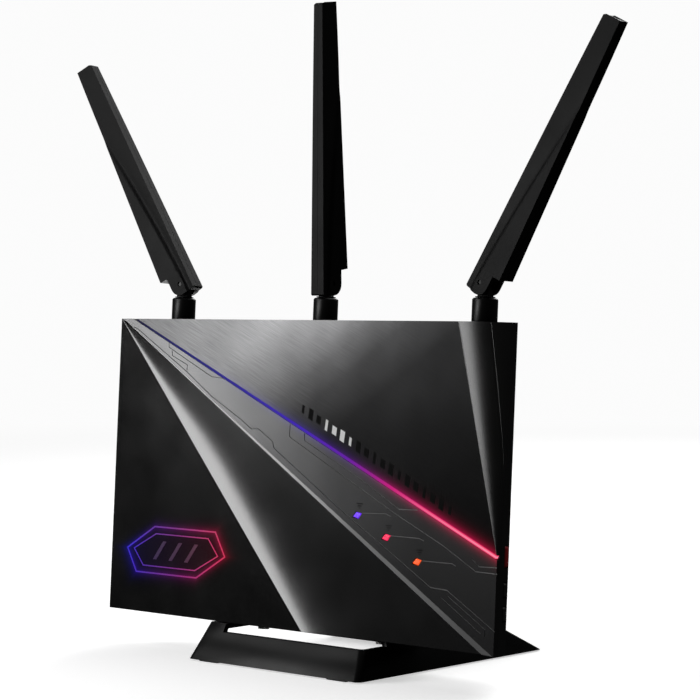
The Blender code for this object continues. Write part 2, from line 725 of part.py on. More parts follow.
def build_antenna(tag, x, turn, tilt, frame, mats):
    base = add_empty("axis_" + tag, (x, ANT_DEPTH, BODY_H), (0, 0, 0), frame)

    top = HOUSING_TOP - BODY_H
    inner = top - WALL
    prof = [(0, inner - 6), (2.2, inner - 6), (2.2, inner - 2.5), (4.8, inner - 2.5), (4.8, inner - GAP)]
    prof += [(3.0, inner - GAP), (3.0, 7.2), (0, 7.2)]
    new_lathe("jack_" + tag, prof, mats["brass"], base, "Z", (0, 0, 0), 20)

    r = NUT_D / 2
    n0 = GAP
    n1 = GAP + NUT_H
    prof = [(3.3, n0), (r - 0.3, n0), (r, n0 + 0.4), (r, n1 - 0.7), (r - 0.6, n1), (2.5, n1)]
    prof += [(2.5, n1 - 1.9), (3.3, n1 - 1.9)]
    new_lathe("nut_" + tag, prof, mats["matte"], base, "Z", (0, 0, 0), 32)

    swivel = add_empty("swivel_axis_" + tag, (0, 0, 0), (0, 0, turn), base)
    neck0 = n1 + GAP
    neck1 = PIVOT_H - LOBE_R - HINGE_CLEAR
    flange = n1 - 1.9 - GAP
    prof = [(0, 7.6), (3.0, 7.6), (3.0, flange), (2.2, flange), (2.2, neck0), (4.65, neck0)]
    prof += [(4.65, neck1), (0, neck1)]
    obj = new_lathe("swivel_" + tag, prof, mats["matte"], swivel, "Z", (0, 0, 0), 32)

    def tongue(b):
        h = TONGUE_T / 2
        w = 3.4
        outline = [(-w, neck1 - 0.3), (w, neck1 - 0.3), (w, PIVOT_H)]
        for i in range(1, 8):
            a = i * math.pi / 8
            outline.append((w * math.cos(a), PIVOT_H + w * math.sin(a)))
        outline.append((-w, PIVOT_H))
        add_prism(b, outline, -h, h)

    def eye(b):
        add_lathe(b, [(0, -4), (1.3, -4), (1.3, 4), (0, 4)], "Y", (0, 0, PIVOT_H), 20)

    cut(obj, "add_tongue_" + tag, tongue, "UNION")
    cut(obj, "cut_eye_" + tag, eye)

    hinge = add_empty("hinge_axis_" + tag, (0, 0, PIVOT_H), (0, -tilt, 0), swivel)
    new_lathe("hinge_pin_" + tag, [(0, -3.8), (1.0, -3.8), (1.0, 3.8), (0, 3.8)], mats["steel"], hinge, "Y")

    for side, s in (("front", -1), ("back", 1)):
        bm = bmesh.new()
        outline = blade_outline()
        add_prism(bm, outline, lambda px, pz, s=s: s * blade_half(pz), s * GAP / 4)
        shell = add_object("blade_%s_%s" % (side, tag), bm, mats["matte"], hinge)

        def hollow(b, s=s):
            z0, z1 = 10.0, ANT_LEN - 4.0
            outline = [(5.0, z0), (4.6, z1), (-2.6, z1), (-8.4, z0)]
            add_prism(b, outline, lambda px, pz: s * (blade_half(pz) - 1.3), -s * 2.0)

        def slot(b):
            t = TONGUE_T / 2 + GAP
            outline = [(4.0, -8), (4.0, 2.6), (2.6, 4.0), (-12, 4.0), (-12, -8)]
            add_prism(b, outline, -t, t)

        def bore(b):
            add_lathe(b, [(0, -7), (1.0 + GAP / 2, -7), (1.0 + GAP / 2, 7), (0, 7)], "Y", (0, 0, 0), 20)

        cut(shell, "cut_hollow_%s_%s" % (side, tag), hollow)
        cut(shell, "cut_slot_%s_%s" % (side, tag), slot)
        cut(shell, "cut_bore_%s_%s" % (side, tag), bore)

    new_box("radiator_" + tag, (-1.6, -0.5, 12), (2.4, 0.5, ANT_LEN - 16), mats["board"], hinge)


def main():
    clear_scene()
    scene = bpy.context.scene
    scene.unit_settings.system = "METRIC"
    scene.unit_settings.scale_length = 1.0
    mats = {
        "gloss": material("gloss_black", (0.008, 0.008, 0.009), 0.12),
        "matte": material("matte_black", (0.016, 0.016, 0.017), 0.5),
        "dark": material("port_plastic", (0.012, 0.012, 0.013), 0.4),
        "brushed": material("brushed_plate", (0.09, 0.09, 0.095), 0.35, 0.7),
        "glow": material("glow_plastic", (0.9, 0.1, 0.35), 0.4, 0.0, 1.5),
        "red": material("red_plastic", (0.6, 0.02, 0.03), 0.4),
        "board": material("circuit_board", (0.01, 0.09, 0.04), 0.5),
        "alu": material("aluminium", (0.7, 0.7, 0.72), 0.35, 1.0),
        "steel": material("plated_steel", (0.6, 0.6, 0.62), 0.3, 1.0),
        "brass": material("gold_plated_brass", (0.75, 0.55, 0.2), 0.3, 1.0),
        "pad": material("thermal_pad", (0.45, 0.5, 0.55), 0.8),
        "rubber": material("rubber_foot", (0.03, 0.03, 0.03), 0.9),
    }
    frame = add_empty("body_frame", (0, Y_FRONT, BODY_BOTTOM), (-LEAN, 0, 0))
    build_front(frame, mats)
    build_rear(frame, mats)
    build_electronics(frame, mats)
    build_buttons(frame, mats)
    build_stand(frame, mats)
    build_antenna("left", -ANT_PITCH, ANT_SWING, ANT_TILT, frame, mats)
    build_antenna("mid", 0.0, -math.pi / 2, -LEAN, frame, mats)
    build_antenna("right", ANT_PITCH, math.pi - ANT_SWING, ANT_TILT, frame, mats)
    bpy.context.view_layer.update()


main()
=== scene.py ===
"""Looks of the upright wireless router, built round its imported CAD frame.

Lengths are millimetres, turned into metres by MM. Body pieces are laid out in the
leaning body frame of the router: x along the width, y into the depth from the front
face, z up the slanted face from its bottom edge.
"""

import math

import bmesh
import bpy
from mathutils import Matrix, Vector


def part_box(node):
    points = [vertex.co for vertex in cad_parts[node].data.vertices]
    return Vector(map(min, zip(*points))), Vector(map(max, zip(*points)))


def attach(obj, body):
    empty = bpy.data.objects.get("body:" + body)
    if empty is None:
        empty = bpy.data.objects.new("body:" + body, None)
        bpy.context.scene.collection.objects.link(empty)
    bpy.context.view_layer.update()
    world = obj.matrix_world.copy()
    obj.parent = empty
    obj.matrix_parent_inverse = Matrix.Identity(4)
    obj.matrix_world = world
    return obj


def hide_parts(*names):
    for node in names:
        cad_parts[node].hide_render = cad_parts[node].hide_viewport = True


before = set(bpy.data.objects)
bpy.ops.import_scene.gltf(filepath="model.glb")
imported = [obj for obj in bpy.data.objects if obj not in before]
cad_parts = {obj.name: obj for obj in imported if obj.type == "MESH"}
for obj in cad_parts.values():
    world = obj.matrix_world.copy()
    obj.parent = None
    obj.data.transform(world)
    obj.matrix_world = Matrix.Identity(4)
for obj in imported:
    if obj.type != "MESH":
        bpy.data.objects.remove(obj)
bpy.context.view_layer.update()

MM = 0.001

# ---- sizes shared with the frame ----------------------------------------------
LEAN = math.radians(3.5)
SLAB_T = 8.4
PANEL_LO, PANEL_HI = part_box("front_panel")
BODY_W = (PANEL_HI.x - PANEL_LO.x) / MM
HW = BODY_W / 2
BODY_H = ((PANEL_HI.z - PANEL_LO.z) / MM - SLAB_T * math.sin(LEAN)) / math.cos(LEAN)
BODY_BOTTOM = PANEL_LO.z / MM + SLAB_T * math.sin(LEAN)
Y_FRONT = PANEL_LO.y / MM
HOUSING_DEPTH = 36.0
PORT_Z = 24.0

PLATE_T = 2.7
GAP = 0.3
SEAT = PLATE_T + GAP
WALL = 2.2
CREASE_X = 8.9
CREASE_DEPTH = 0.3
BAND_W = 6.5
FACET_X = 26.8
BAR_A = (-HW + 9.7, BODY_H)
BAR_B = (HW, 42.7)
BAR_W = 2.0
BAR_ANGLE = math.atan2(BAR_B[1] - BAR_A[1], BAR_B[0] - BAR_A[0])
LENS_CENTRES = ((40.7, 56.2), (58.6, 47.3), (77.3, 37.6))
LENS_COLOURS = ("violet", "rose", "amber")
SIDE_BUTTONS = {"boost_button": (43.0, 9.4), "wps_button": (28.5, 6.4), "wifi_button": (18.0, 6.4)}
SIDE_BUTTON_Y = 6.9
SIDE_HOLE_FRONT = 1.6
SIDE_HOLE_BACK = 1.35

ANT_PITCH = 96.4
ANT_DEPTH = 17.7
ANT_LEN = 133.5
PIVOT_H = 18.2
LOBE_R = 5.7
BLADE_T0 = 8.8
BLADE_T1 = 5.2
TONGUE_T = 3.6
ANT_SWING = math.radians(6.4)
ANTENNAS = {
    "left": (-ANT_PITCH, ANT_SWING, math.radians(33.0)),
    "mid": (0.0, -math.pi / 2, -LEAN),
    "right": (ANT_PITCH, math.pi - ANT_SWING, math.radians(33.0)),
}

BODY = Matrix.Translation((0, Y_FRONT * MM, BODY_BOTTOM * MM)) @ Matrix.Rotation(-LEAN, 4, "X")


# ---- shader helpers -------------------------------------------------------------
def new_material(name):
    mat = bpy.data.materials.new(name)
    mat.use_nodes = True
    return mat, mat.node_tree, mat.node_tree.nodes["Principled BSDF"]


def add_node(tree, kind, inputs=None, **settings):
    node = tree.nodes.new(kind)
    for key, value in settings.items():
        setattr(node, key, value)
    for key, value in (inputs or {}).items():
        if isinstance(value, bpy.types.NodeSocket):
            tree.links.new(value, node.inputs[key])
        else:
            node.inputs[key].default_value = value
    return node


def math_node(tree, operation, a, b=0.0, clamp=False):
    return add_node(tree, "ShaderNodeMath", {0: a, 1: b}, operation=operation, use_clamp=clamp).outputs[0]


def object_coords(tree):
    return add_node(tree, "ShaderNodeTexCoord").outputs["Object"]


def add_bump(tree, shader, height, height_mm, strength=1.0):
    inputs = {"Height": height, "Strength": strength, "Distance": height_mm * MM}
    bump = add_node(tree, "ShaderNodeBump", inputs)
    tree.links.new(bump.outputs["Normal"], shader.inputs["Normal"])


def ramp_level(tree, factor, steps):
    """One number along a factor, from (place, level) steps."""
    ramp = colour_ramp(tree, factor, [(place, (level,) * 3) for place, level in steps])
    return add_node(tree, "ShaderNodeSeparateColor", {"Color": ramp}).outputs["Red"]


def colour_ramp(tree, factor, stops):
    node = add_node(tree, "ShaderNodeValToRGB", {"Fac": factor})
    ramp = node.color_ramp
    while len(ramp.elements) < len(stops):
        ramp.elements.new(0.5)
    for element, (place, colour) in zip(ramp.elements, stops):
        element.position = place
        element.color = (*colour, 1.0)
    return node.outputs["Color"]


def add_grain(tree, shader, grain_mm, height_mm, rough_lo, rough_hi, coords=None):
    """Moulded grain: fine bump, with slow changes in roughness."""
    coords = coords or object_coords(tree)
    fine = add_node(
        tree, "ShaderNodeTexNoise", {"Vector": coords, "Scale": 1 / (grain_mm * MM), "Detail": 3.0}
    )
    slow = add_node(
        tree, "ShaderNodeTexNoise", {"Vector": coords, "Scale": 1 / (22 * MM), "Detail": 4.0}
    )
    mixed = math_node(
        tree,
        "ADD",
        math_node(tree, "MULTIPLY", fine.outputs["Fac"], 0.5),
        math_node(tree, "MULTIPLY", slow.outputs["Fac"], 0.5),
    )
    rough = add_node(
        tree,
        "ShaderNodeMapRange",
        {"Value": mixed, "From Min": 0.35, "From Max": 0.65, "To Min": rough_lo, "To Max": rough_hi},
    )
    tree.links.new(rough.outputs["Result"], shader.inputs["Roughness"])
    add_bump(tree, shader, fine.outputs["Fac"], height_mm)
    return slow


def plastic(name, colour, rough_lo, rough_hi, grain_mm=0.35, height_mm=0.012, specular=0.5):
    mat, tree, shader = new_material(name)
    shader.inputs["Specular IOR Level"].default_value = specular
    slow = add_grain(tree, shader, grain_mm, height_mm, rough_lo, rough_hi)
    dark = tuple(c * 0.9 for c in colour)
    pale = tuple(min(1.0, c * 1.12) for c in colour)
    tint = colour_ramp(tree, slow.outputs["Fac"], [(0.3, dark), (0.7, pale)])
    tree.links.new(tint, shader.inputs["Base Color"])
    return mat


def metal(name, colour, rough_lo, rough_hi, grain_mm=0.6, height_mm=0.004):
    mat = plastic(name, colour, rough_lo, rough_hi, grain_mm, height_mm)
    mat.node_tree.nodes["Principled BSDF"].inputs["Metallic"].default_value = 1.0
    return mat


def along_bar(tree, coords):
    """(share of the way along the light bar, signed distance from its middle in mm)."""
    ax, az = BAR_A
    length = math.hypot(BAR_B[0] - ax, BAR_B[1] - az)
    d = (math.cos(BAR_ANGLE), 0, math.sin(BAR_ANGLE))
    n = (-math.sin(BAR_ANGLE), 0, math.cos(BAR_ANGLE))
    start = ax * d[0] + az * d[2]
    side = ax * n[0] + az * n[2]
    run = add_node(tree, "ShaderNodeVectorMath", {0: coords, 1: d}, operation="DOT_PRODUCT")
    off = add_node(tree, "ShaderNodeVectorMath", {0: coords, 1: n}, operation="DOT_PRODUCT")
    share = math_node(tree, "MULTIPLY_ADD", run.outputs["Value"], 1 / (length * MM))
    share.node.inputs[2].default_value = -start / length
    distance = math_node(tree, "MULTIPLY_ADD", off.outputs["Value"], 1 / MM)
    distance.node.inputs[2].default_value = -side
    return share, distance


GLOW_STOPS = [
    (0.00, (0.004, 0.004, 0.020)),
    (0.20, (0.012, 0.010, 0.160)),
    (0.36, (0.022, 0.009, 0.300)),
    (0.50, (0.040, 0.007, 0.400)),
    (0.62, (0.110, 0.002, 0.330)),
    (0.68, (0.260, 0.003, 0.230)),
    (0.74, (0.540, 0.004, 0.170)),
    (0.84, (0.800, 0.006, 0.130)),
    (1.00, (0.850, 0.005, 0.080)),
]


def glow_reach(tree, share):
    """Strength of the glow along the bar, which is faint at its upper left end."""
    steps = [(0.0, 0.05), (0.15, 0.18), (0.34, 0.62), (0.60, 0.80), (0.85, 1.0), (1.0, 1.0)]
    return ramp_level(tree, share, steps)


def add_painted_bar_glow(tree, shader, coords, width_mm, strength):
    """Painted glow: the bar's light painted as emission in the lacquer beside it, fading out with the
    distance.
    """
    share, distance = along_bar(tree, coords)
    fade = math_node(tree, "DIVIDE", math_node(tree, "ABSOLUTE", distance), -width_mm)
    fade = math_node(tree, "EXPONENT", fade)
    power = math_node(tree, "MULTIPLY", fade, glow_reach(tree, share))
    power = math_node(tree, "MULTIPLY", power, strength)
    tree.links.new(colour_ramp(tree, share, GLOW_STOPS), shader.inputs["Emission Color"])
    tree.links.new(power, shader.inputs["Emission Strength"])


def brushed_material(name, colour, streak, height_mm, rough, painted_bar_glow, fade):
    """Brushed, dark metal; the streaks run along the light bar.

    streak is (length, width) in mm; the next argument gives the painted glow beside the bar as (width in
    mm, strength) or None, and fade the painted sheen in the base colour.
    """
    mat, tree, shader = new_material(name)
    coords = object_coords(tree)
    turned = add_node(
        tree, "ShaderNodeMapping", {"Vector": coords, "Rotation": (0, BAR_ANGLE, 0)}
    )
    long_mm, wide_mm = streak
    scale = (1 / (long_mm * MM), 1 / (wide_mm * MM), 1 / (wide_mm * MM))
    drawn = add_node(tree, "ShaderNodeMapping", {"Vector": turned.outputs["Vector"], "Scale": scale})
    lines = add_node(
        tree, "ShaderNodeTexNoise", {"Vector": drawn.outputs["Vector"], "Scale": 1.0, "Detail": 4.0}
    )
    blotch = add_node(
        tree, "ShaderNodeTexNoise", {"Vector": coords, "Scale": 1 / (35 * MM), "Detail": 3.0}
    )
    dark = tuple(c * 0.72 for c in colour)
    pale = tuple(min(1.0, c * 1.3) for c in colour)
    tint = colour_ramp(tree, lines.outputs["Fac"], [(0.3, dark), (0.7, pale)])
    # Painted sheen: the base colour darkens away from the upper left corner.
    tree.links.new(add_painted_sheen_fade(tree, coords, tint, fade), shader.inputs["Base Color"])
    spread = add_node(
        tree,
        "ShaderNodeMapRange",
        {
            "Value": math_node(tree, "ADD", lines.outputs["Fac"], blotch.outputs["Fac"]),
            "From Min": 0.7,
            "From Max": 1.3,
            "To Min": rough - 0.06,
            "To Max": rough + 0.06,
        },
    )
    tree.links.new(spread.outputs["Result"], shader.inputs["Roughness"])
    add_bump(tree, shader, lines.outputs["Fac"], height_mm)
    shader.inputs["Metallic"].default_value = 1.0
    # Painted glow of the bar's light, as emission on the plate beside it.
    if painted_bar_glow:
        add_painted_bar_glow(tree, shader, coords, *painted_bar_glow)
    return mat


def add_painted_sheen_fade(tree, coords, tint, fade):
    """Painted sheen: the base colour darkens away from the upper left corner, standing in for a soft
    light's reflection there; fade is (downward share, stops).
    """
    downward, stops = fade
    xyz = add_node(tree, "ShaderNodeSeparateXYZ", {"Vector": coords})
    drop = math_node(tree, "SUBTRACT", BODY_H * MM, xyz.outputs["Z"])
    reach = math_node(tree, "ADD", xyz.outputs["X"], math_node(tree, "MULTIPLY", drop, downward))
    lo, hi = stops[0][0], stops[-1][0]
    share = add_node(
        tree, "ShaderNodeMapRange", {"Value": reach, "From Min": lo * MM, "From Max": hi * MM}
    )
    levels = [((at - lo) / (hi - lo), (level,) * 3) for at, level in stops]
    mix = add_node(tree, "ShaderNodeMix", data_type="RGBA", blend_type="MULTIPLY")
    mix.inputs["Factor"].default_value = 1.0
    tree.links.new(tint, mix.inputs[6])
    tree.links.new(colour_ramp(tree, share.outputs["Result"], levels), mix.inputs[7])
    return mix.outputs[2]


def bar_material():
    """Light guide: a pale core inside its colour, with the core growing to the right."""
    mat, tree, shader = new_material("bar_glow")
    shader.inputs["Base Color"].default_value = (0.02, 0.02, 0.03, 1)
    shader.inputs["Roughness"].default_value = 0.35
    coords = object_coords(tree)
    share, distance = along_bar(tree, coords)
    colour = colour_ramp(tree, share, GLOW_STOPS)
    core = math_node(tree, "DIVIDE", math_node(tree, "ABSOLUTE", distance), BAR_W / 2)
    core = math_node(tree, "SUBTRACT", 1.0, core, clamp=True)
    core = math_node(tree, "POWER", core, 1.6)
    pale = ramp_level(tree, share, [(0.74, 0.0), (0.86, 0.55), (1.0, 0.9)])
    core = math_node(tree, "MULTIPLY", core, pale)
    mix = add_node(tree, "ShaderNodeMix", data_type="RGBA")
    tree.links.new(core, mix.inputs["Factor"])
    tree.links.new(colour, mix.inputs[6])
    mix.inputs[7].default_value = (1.0, 0.36, 0.50, 1.0)
    tree.links.new(mix.outputs[2], shader.inputs["Emission Color"])
    shader.inputs["Specular IOR Level"].default_value = 0.02
    shader.inputs["Emission Strength"].default_value = 1.0
    add_surface_noise(tree, shader, coords, 0.8, 0.01)
    return mat


def add_surface_noise(tree, shader, coords, size_mm, height_mm):
    noise = add_node(tree, "ShaderNodeTexNoise", {"Vector": coords, "Scale": 1 / (size_mm * MM)})
    add_bump(tree, shader, noise.outputs["Fac"], height_mm, 0.6)


def lens_material(name, colour, strength):
    """Small moulded lens, its glow mottled by noise."""
    mat, tree, shader = new_material(name)
    shader.inputs["Base Color"].default_value = (*[c * 0.3 for c in colour], 1)
    shader.inputs["Roughness"].default_value = 0.25
    noise = add_node(
        tree, "ShaderNodeTexNoise", {"Vector": object_coords(tree), "Scale": 1 / (1.2 * MM), "Detail": 2.0}
    )
    low = tuple(c * 0.55 for c in colour)
    glow = colour_ramp(tree, noise.outputs["Fac"], [(0.35, low), (0.6, colour)])
    tree.links.new(glow, shader.inputs["Emission Color"])
    shader.inputs["Emission Strength"].default_value = strength
    return mat


EMBLEM_MID = (-77.0, 31.0)
EMBLEM_HALF = (34.0, 11.5)
EMBLEM_SHEAR = 6.0
EMBLEM_STOPS = [
    (0.00, (0.020, 0.008, 0.800)),
    (0.22, (0.090, 0.006, 0.420)),
    (0.50, (0.240, 0.005, 0.260)),
    (0.78, (0.560, 0.006, 0.150)),
    (1.00, (0.800, 0.006, 0.080)),
]


def across_emblem(tree, coords):
    xyz = add_node(tree, "ShaderNodeSeparateXYZ", {"Vector": coords})
    share = add_node(
        tree,
        "ShaderNodeMapRange",
        {
            "Value": xyz.outputs["X"],
            "From Min": (EMBLEM_MID[0] - EMBLEM_HALF[0]) * MM,
            "From Max": (EMBLEM_MID[0] + EMBLEM_HALF[0]) * MM,
        },
    )
    return xyz, share.outputs["Result"]


def emblem_material(name, strength):
    mat, tree, shader = new_material(name)
    shader.inputs["Base Color"].default_value = (0.02, 0.01, 0.02, 1)
    shader.inputs["Roughness"].default_value = 0.3
    coords = object_coords(tree)
    _, share = across_emblem(tree, coords)
    tree.links.new(colour_ramp(tree, share, EMBLEM_STOPS), shader.inputs["Emission Color"])
    shader.inputs["Emission Strength"].default_value = strength
    add_surface_noise(tree, shader, coords, 0.9, 0.01)
    return mat


def hexagon_distance(tree, xyz, grow=0.0):
    """Distance in mm outside the slanted hexagon of the emblem; below zero inside."""
    cx, cz = EMBLEM_MID
    hx, hz = EMBLEM_HALF
    x = math_node(tree, "MULTIPLY_ADD", xyz.outputs["X"], 1 / MM)
    x.node.inputs[2].default_value = -cx
    z = math_node(tree, "MULTIPLY_ADD", xyz.outputs["Z"], 1 / MM)
    z.node.inputs[2].default_value = -cz
    slide = math_node(tree, "MULTIPLY", z, EMBLEM_SHEAR / hz)
    level = math_node(tree, "SUBTRACT", math_node(tree, "ABSOLUTE", z), hz + grow)
    edge = Vector((hz, hx * 0.38)).normalized()
    slid = math_node(tree, "ABSOLUTE", math_node(tree, "SUBTRACT", x, slide))
    flank = math_node(
        tree,
        "ADD",
        math_node(tree, "MULTIPLY", slid, edge.x),
        math_node(tree, "MULTIPLY", math_node(tree, "ABSOLUTE", z), edge.y),
    )
    flank = math_node(tree, "SUBTRACT", flank, hx * edge.x + grow)
    return math_node(tree, "MAXIMUM", level, flank)


def gloss_material():
    """Gloss black moulding, with the emblem's glow painted as emission in the lacquer round it and faintly
    inside it.
    """
    mat, tree, shader = new_material("gloss_black_moulding")
    coords = object_coords(tree)
    shader.inputs["Specular IOR Level"].default_value = 0.4
    slow = add_grain(tree, shader, 1.6, 0.0015, 0.13, 0.19, coords)
    tint = colour_ramp(tree, slow.outputs["Fac"], [(0.3, (0.0035,) * 3), (0.7, (0.0055,) * 3)])
    tree.links.new(tint, shader.inputs["Base Color"])
    xyz, share = across_emblem(tree, coords)
    off = hexagon_distance(tree, xyz)
    # Painted glow: emission fading out from the emblem's outline.
    painted_glow_rim = math_node(tree, "EXPONENT", math_node(tree, "DIVIDE", math_node(tree, "ABSOLUTE", off), -1.5))
    inside = math_node(tree, "LESS_THAN", off, 0.0)
    power = math_node(
        tree,
        "ADD",
        math_node(tree, "MULTIPLY", painted_glow_rim, 0.22),
        math_node(tree, "MULTIPLY", inside, 0.02),
    )
    tree.links.new(colour_ramp(tree, share, EMBLEM_STOPS), shader.inputs["Emission Color"])
    tree.links.new(power, shader.inputs["Emission Strength"])
    return mat


def painted_light_plastic(name, colour, fade):
    """Lacquered metal edge whose base colour carries painted light and shade that change along the front.
    """
    mat = plastic(name, colour, 0.30, 0.40, 0.3, 0.004, 0.3)
    tree = mat.node_tree
    shader = tree.nodes["Principled BSDF"]
    tint = shader.inputs["Base Color"].links[0].from_socket
    tree.links.new(add_painted_sheen_fade(tree, object_coords(tree), tint, fade), shader.inputs["Base Color"])
    return mat


def board_material():
    """Green circuit board with copper tracks under the lacquer."""
    mat, tree, shader = new_material("board_green")
    coords = object_coords(tree)
    tracks = add_node(
        tree,
        "ShaderNodeTexBrick",
        {
            "Vector": coords,
            "Scale": 1 / (9 * MM),
            "Color1": (0.008, 0.075, 0.03, 1),
            "Color2": (0.01, 0.095, 0.04, 1),
            "Mortar": (0.03, 0.16, 0.07, 1),
            "Mortar Size": 0.02,
        },
    )
    tree.links.new(tracks.outputs["Color"], shader.inputs["Base Color"])
    add_grain(tree, shader, 0.8, 0.01, 0.3, 0.5, coords)
    return mat


# Painted light and shade: these stops lighten or darken base colours across the front, standing in for how
# the soft lights fall on the plate, band, lines, trim and chamfer.
PLATE_PAINTED_SHEEN = (
    1.5,
    [(-60, 1.0), (-15, 0.9), (27, 0.46), (47, 0.24), (68, 0.11), (101, 0.042), (156, 0.026), (200, 0.015)],
)
BAND_PAINTED_SHEEN = (
    0.0,
    [(-79, 1.0), (-51, 0.72), (-23, 0.45), (4, 0.28), (30, 0.145), (55, 0.10), (80, 0.07), (98, 0.07)],
)
LINE_PAINTED_LIGHT = (0.0, [(-60, 0.02), (-10, 0.05), (30, 0.25), (70, 0.45), (120, 0.5)])
TRIM_PAINTED_SHEEN = (0.0, [(-110, 1.0), (-10, 1.0), (40, 0.4), (110, 0.2)])
CHAMFER_PAINTED_SHEEN = (0.0, [(-110, 1.0), (-20, 1.0), (40, 0.4), (110, 0.3)])

MATS = {
    "gloss": gloss_material(),
    "satin": plastic("satin_black_moulding", (0.005,) * 3, 0.15, 0.19, 0.5, 0.002, 0.5),
    "facet": plastic("facet_black_moulding", (0.005,) * 3, 0.19, 0.24, 0.5, 0.002, 0.34),
    "edge": plastic("edge_black_moulding", (0.005,) * 3, 0.30, 0.40, 0.4, 0.006, 0.35),
    "matte": plastic("grained_black", (0.003,) * 3, 0.40, 0.50, 0.30, 0.006, 0.07),
    "stand": plastic("stand_black", (0.005,) * 3, 0.26, 0.34, 0.35, 0.006, 0.08),
    "collar": plastic("collar_black", (0.003,) * 3, 0.30, 0.40, 0.30, 0.008, 0.18),
    # Plate and band carry a painted sheen fade and a painted glow beside the light bar.
    "plate": brushed_material(
        "plate_brushed", (0.125, 0.125, 0.127), (16.0, 0.28), 0.020, 0.34, (1.5, 0.75), PLATE_PAINTED_SHEEN
    ),
    "band": brushed_material(
        "plate_fine", (0.18, 0.18, 0.182), (0.5, 0.35), 0.010, 0.40, (1.2, 0.7), BAND_PAINTED_SHEEN
    ),
    # The chamfer's pale metal is its own; its darkening toward the right is painted shade.
    "chamfer": brushed_material(
        "plate_chamfer", (0.85, 0.85, 0.86), (30.0, 0.3), 0.003, 0.24, None, CHAMFER_PAINTED_SHEEN
    ),
    "groove": plastic("groove_black", (0.003,) * 3, 0.45, 0.6, 0.3, 0.008, 0.3),
    # The engraved lines are painted pale where their cut walls catch light, darker toward the upper left.
    "line": painted_light_plastic("engraved_line", (0.28,) * 3, LINE_PAINTED_LIGHT),
    # The trim is painted near white as a highlight on the polished edge, fading toward the right.
    "trim": painted_light_plastic("trim_edge", (0.95,) * 3, TRIM_PAINTED_SHEEN),
    "bar": bar_material(),
    "emblem": emblem_material("emblem_glow", 0.70),
    "emblem_dim": emblem_material("emblem_tint", 0.10),
    "violet": lens_material("violet_glow", (0.16, 0.03, 0.95), 1.1),
    "rose": lens_material("rose_glow", (0.95, 0.02, 0.10), 1.2),
    "amber": lens_material("amber_glow", (1.0, 0.10, 0.015), 1.3),
    "red": plastic("red_moulding", (0.45, 0.006, 0.012), 0.3, 0.42, 0.3, 0.006),
    "port": plastic("port_black", (0.012,) * 3, 0.35, 0.5, 0.25, 0.008),
    "tongue": plastic("tongue_blue", (0.01, 0.06, 0.30), 0.35, 0.5, 0.3, 0.005),
    "steel": metal("nickel_steel", (0.58, 0.57, 0.55), 0.22, 0.34),
    "gold": metal("gold_contact", (0.80, 0.55, 0.20), 0.2, 0.32, 0.4),
    "alu": metal("extruded_aluminium", (0.62, 0.63, 0.65), 0.3, 0.45, 0.5, 0.01),
    "board": board_material(),
    "pad": plastic("silicone_pad", (0.40, 0.46, 0.52), 0.7, 0.85, 0.6, 0.02),
    "rubber": plastic("foot_rubber", (0.02,) * 3, 0.75, 0.9, 0.4, 0.02),
    "ink": plastic("print_ink", (0.003,) * 3, 0.5, 0.6, 0.3, 0.002, 0.03),
    "pale_ink": plastic("print_pale", (0.80,) * 3, 0.4, 0.5, 0.3, 0.002),
}


# ---- mesh helpers ---------------------------------------------------------------
def add_solid(bm, points, faces):
    verts = [bm.verts.new(Vector(p) * MM) for p in points]
    for face in faces:
        bm.faces.new([verts[i] for i in face])
    return verts


def add_box(bm, lo, hi):
    (x0, y0, z0), (x1, y1, z1) = lo, hi
    points = [(x, y, z) for z in (z0, z1) for y in (y0, y1) for x in (x0, x1)]
    faces = [(0, 2, 3, 1), (4, 5, 7, 6), (0, 1, 5, 4), (2, 6, 7, 3), (0, 4, 6, 2), (1, 3, 7, 5)]
    add_solid(bm, points, faces)


def add_prism(bm, outline, depth0, depth1):
    """Prism over an (x, z) outline; depths are numbers or functions of (x, z)."""
    front = [(x, depth0(x, z) if callable(depth0) else depth0, z) for x, z in outline]
    back = [(x, depth1(x, z) if callable(depth1) else depth1, z) for x, z in outline]
    n = len(outline)
    faces = [tuple(range(n)), tuple(range(2 * n - 1, n - 1, -1))]
    faces += [(i, n + i, n + (i + 1) % n, (i + 1) % n) for i in range(n)]
    add_solid(bm, front + back, faces)


def add_loft(bm, rings):
    n = len(rings[0])
    points = [p for ring in rings for p in ring]
    faces = [tuple(range(n)), tuple(len(points) - 1 - i for i in range(n))]
    for r in range(len(rings) - 1):
        for i in range(n):
            j = (i + 1) % n
            faces.append((r * n + i, (r + 1) * n + i, (r + 1) * n + j, r * n + j))
    add_solid(bm, points, faces)


def add_lathe(bm, profile, axis="Z", centre=(0, 0, 0), steps=48):
    """Closed (radius, height) profile turned round an axis; radius 0 is allowed."""
    rings = []
    for r, h in profile:
        ring = []
        for i in range(1 if r == 0 else steps):
            a = 2 * math.pi * i / steps
            p = Vector((r * math.cos(a), r * math.sin(a), h))
            if axis == "Y":
                p = Vector((p.x, p.z, -p.y))
            ring.append(bm.verts.new((p + Vector(centre)) * MM))
        rings.append(ring)
    for k, a in enumerate(rings):
        b = rings[(k + 1) % len(rings)]
        if len(a) == 1 and len(b) == 1:
            continue
        for i in range(steps):
            j = (i + 1) % steps
            if len(a) == 1:
                bm.faces.new((a[0], b[i], b[j]))
            elif len(b) == 1:
                bm.faces.new((a[i], b[0], a[j]))
            else:
                bm.faces.new((a[i], b[i], b[j], a[j]))


def mesh_object(name, bm, matrix):
    bmesh.ops.recalc_face_normals(bm, faces=bm.faces[:])
    mesh = bpy.data.meshes.new(name)
    bm.to_mesh(mesh)
    bm.free()
    obj = bpy.data.objects.new(name, mesh)
    bpy.context.scene.collection.objects.link(obj)
    obj.matrix_world = matrix
    return obj


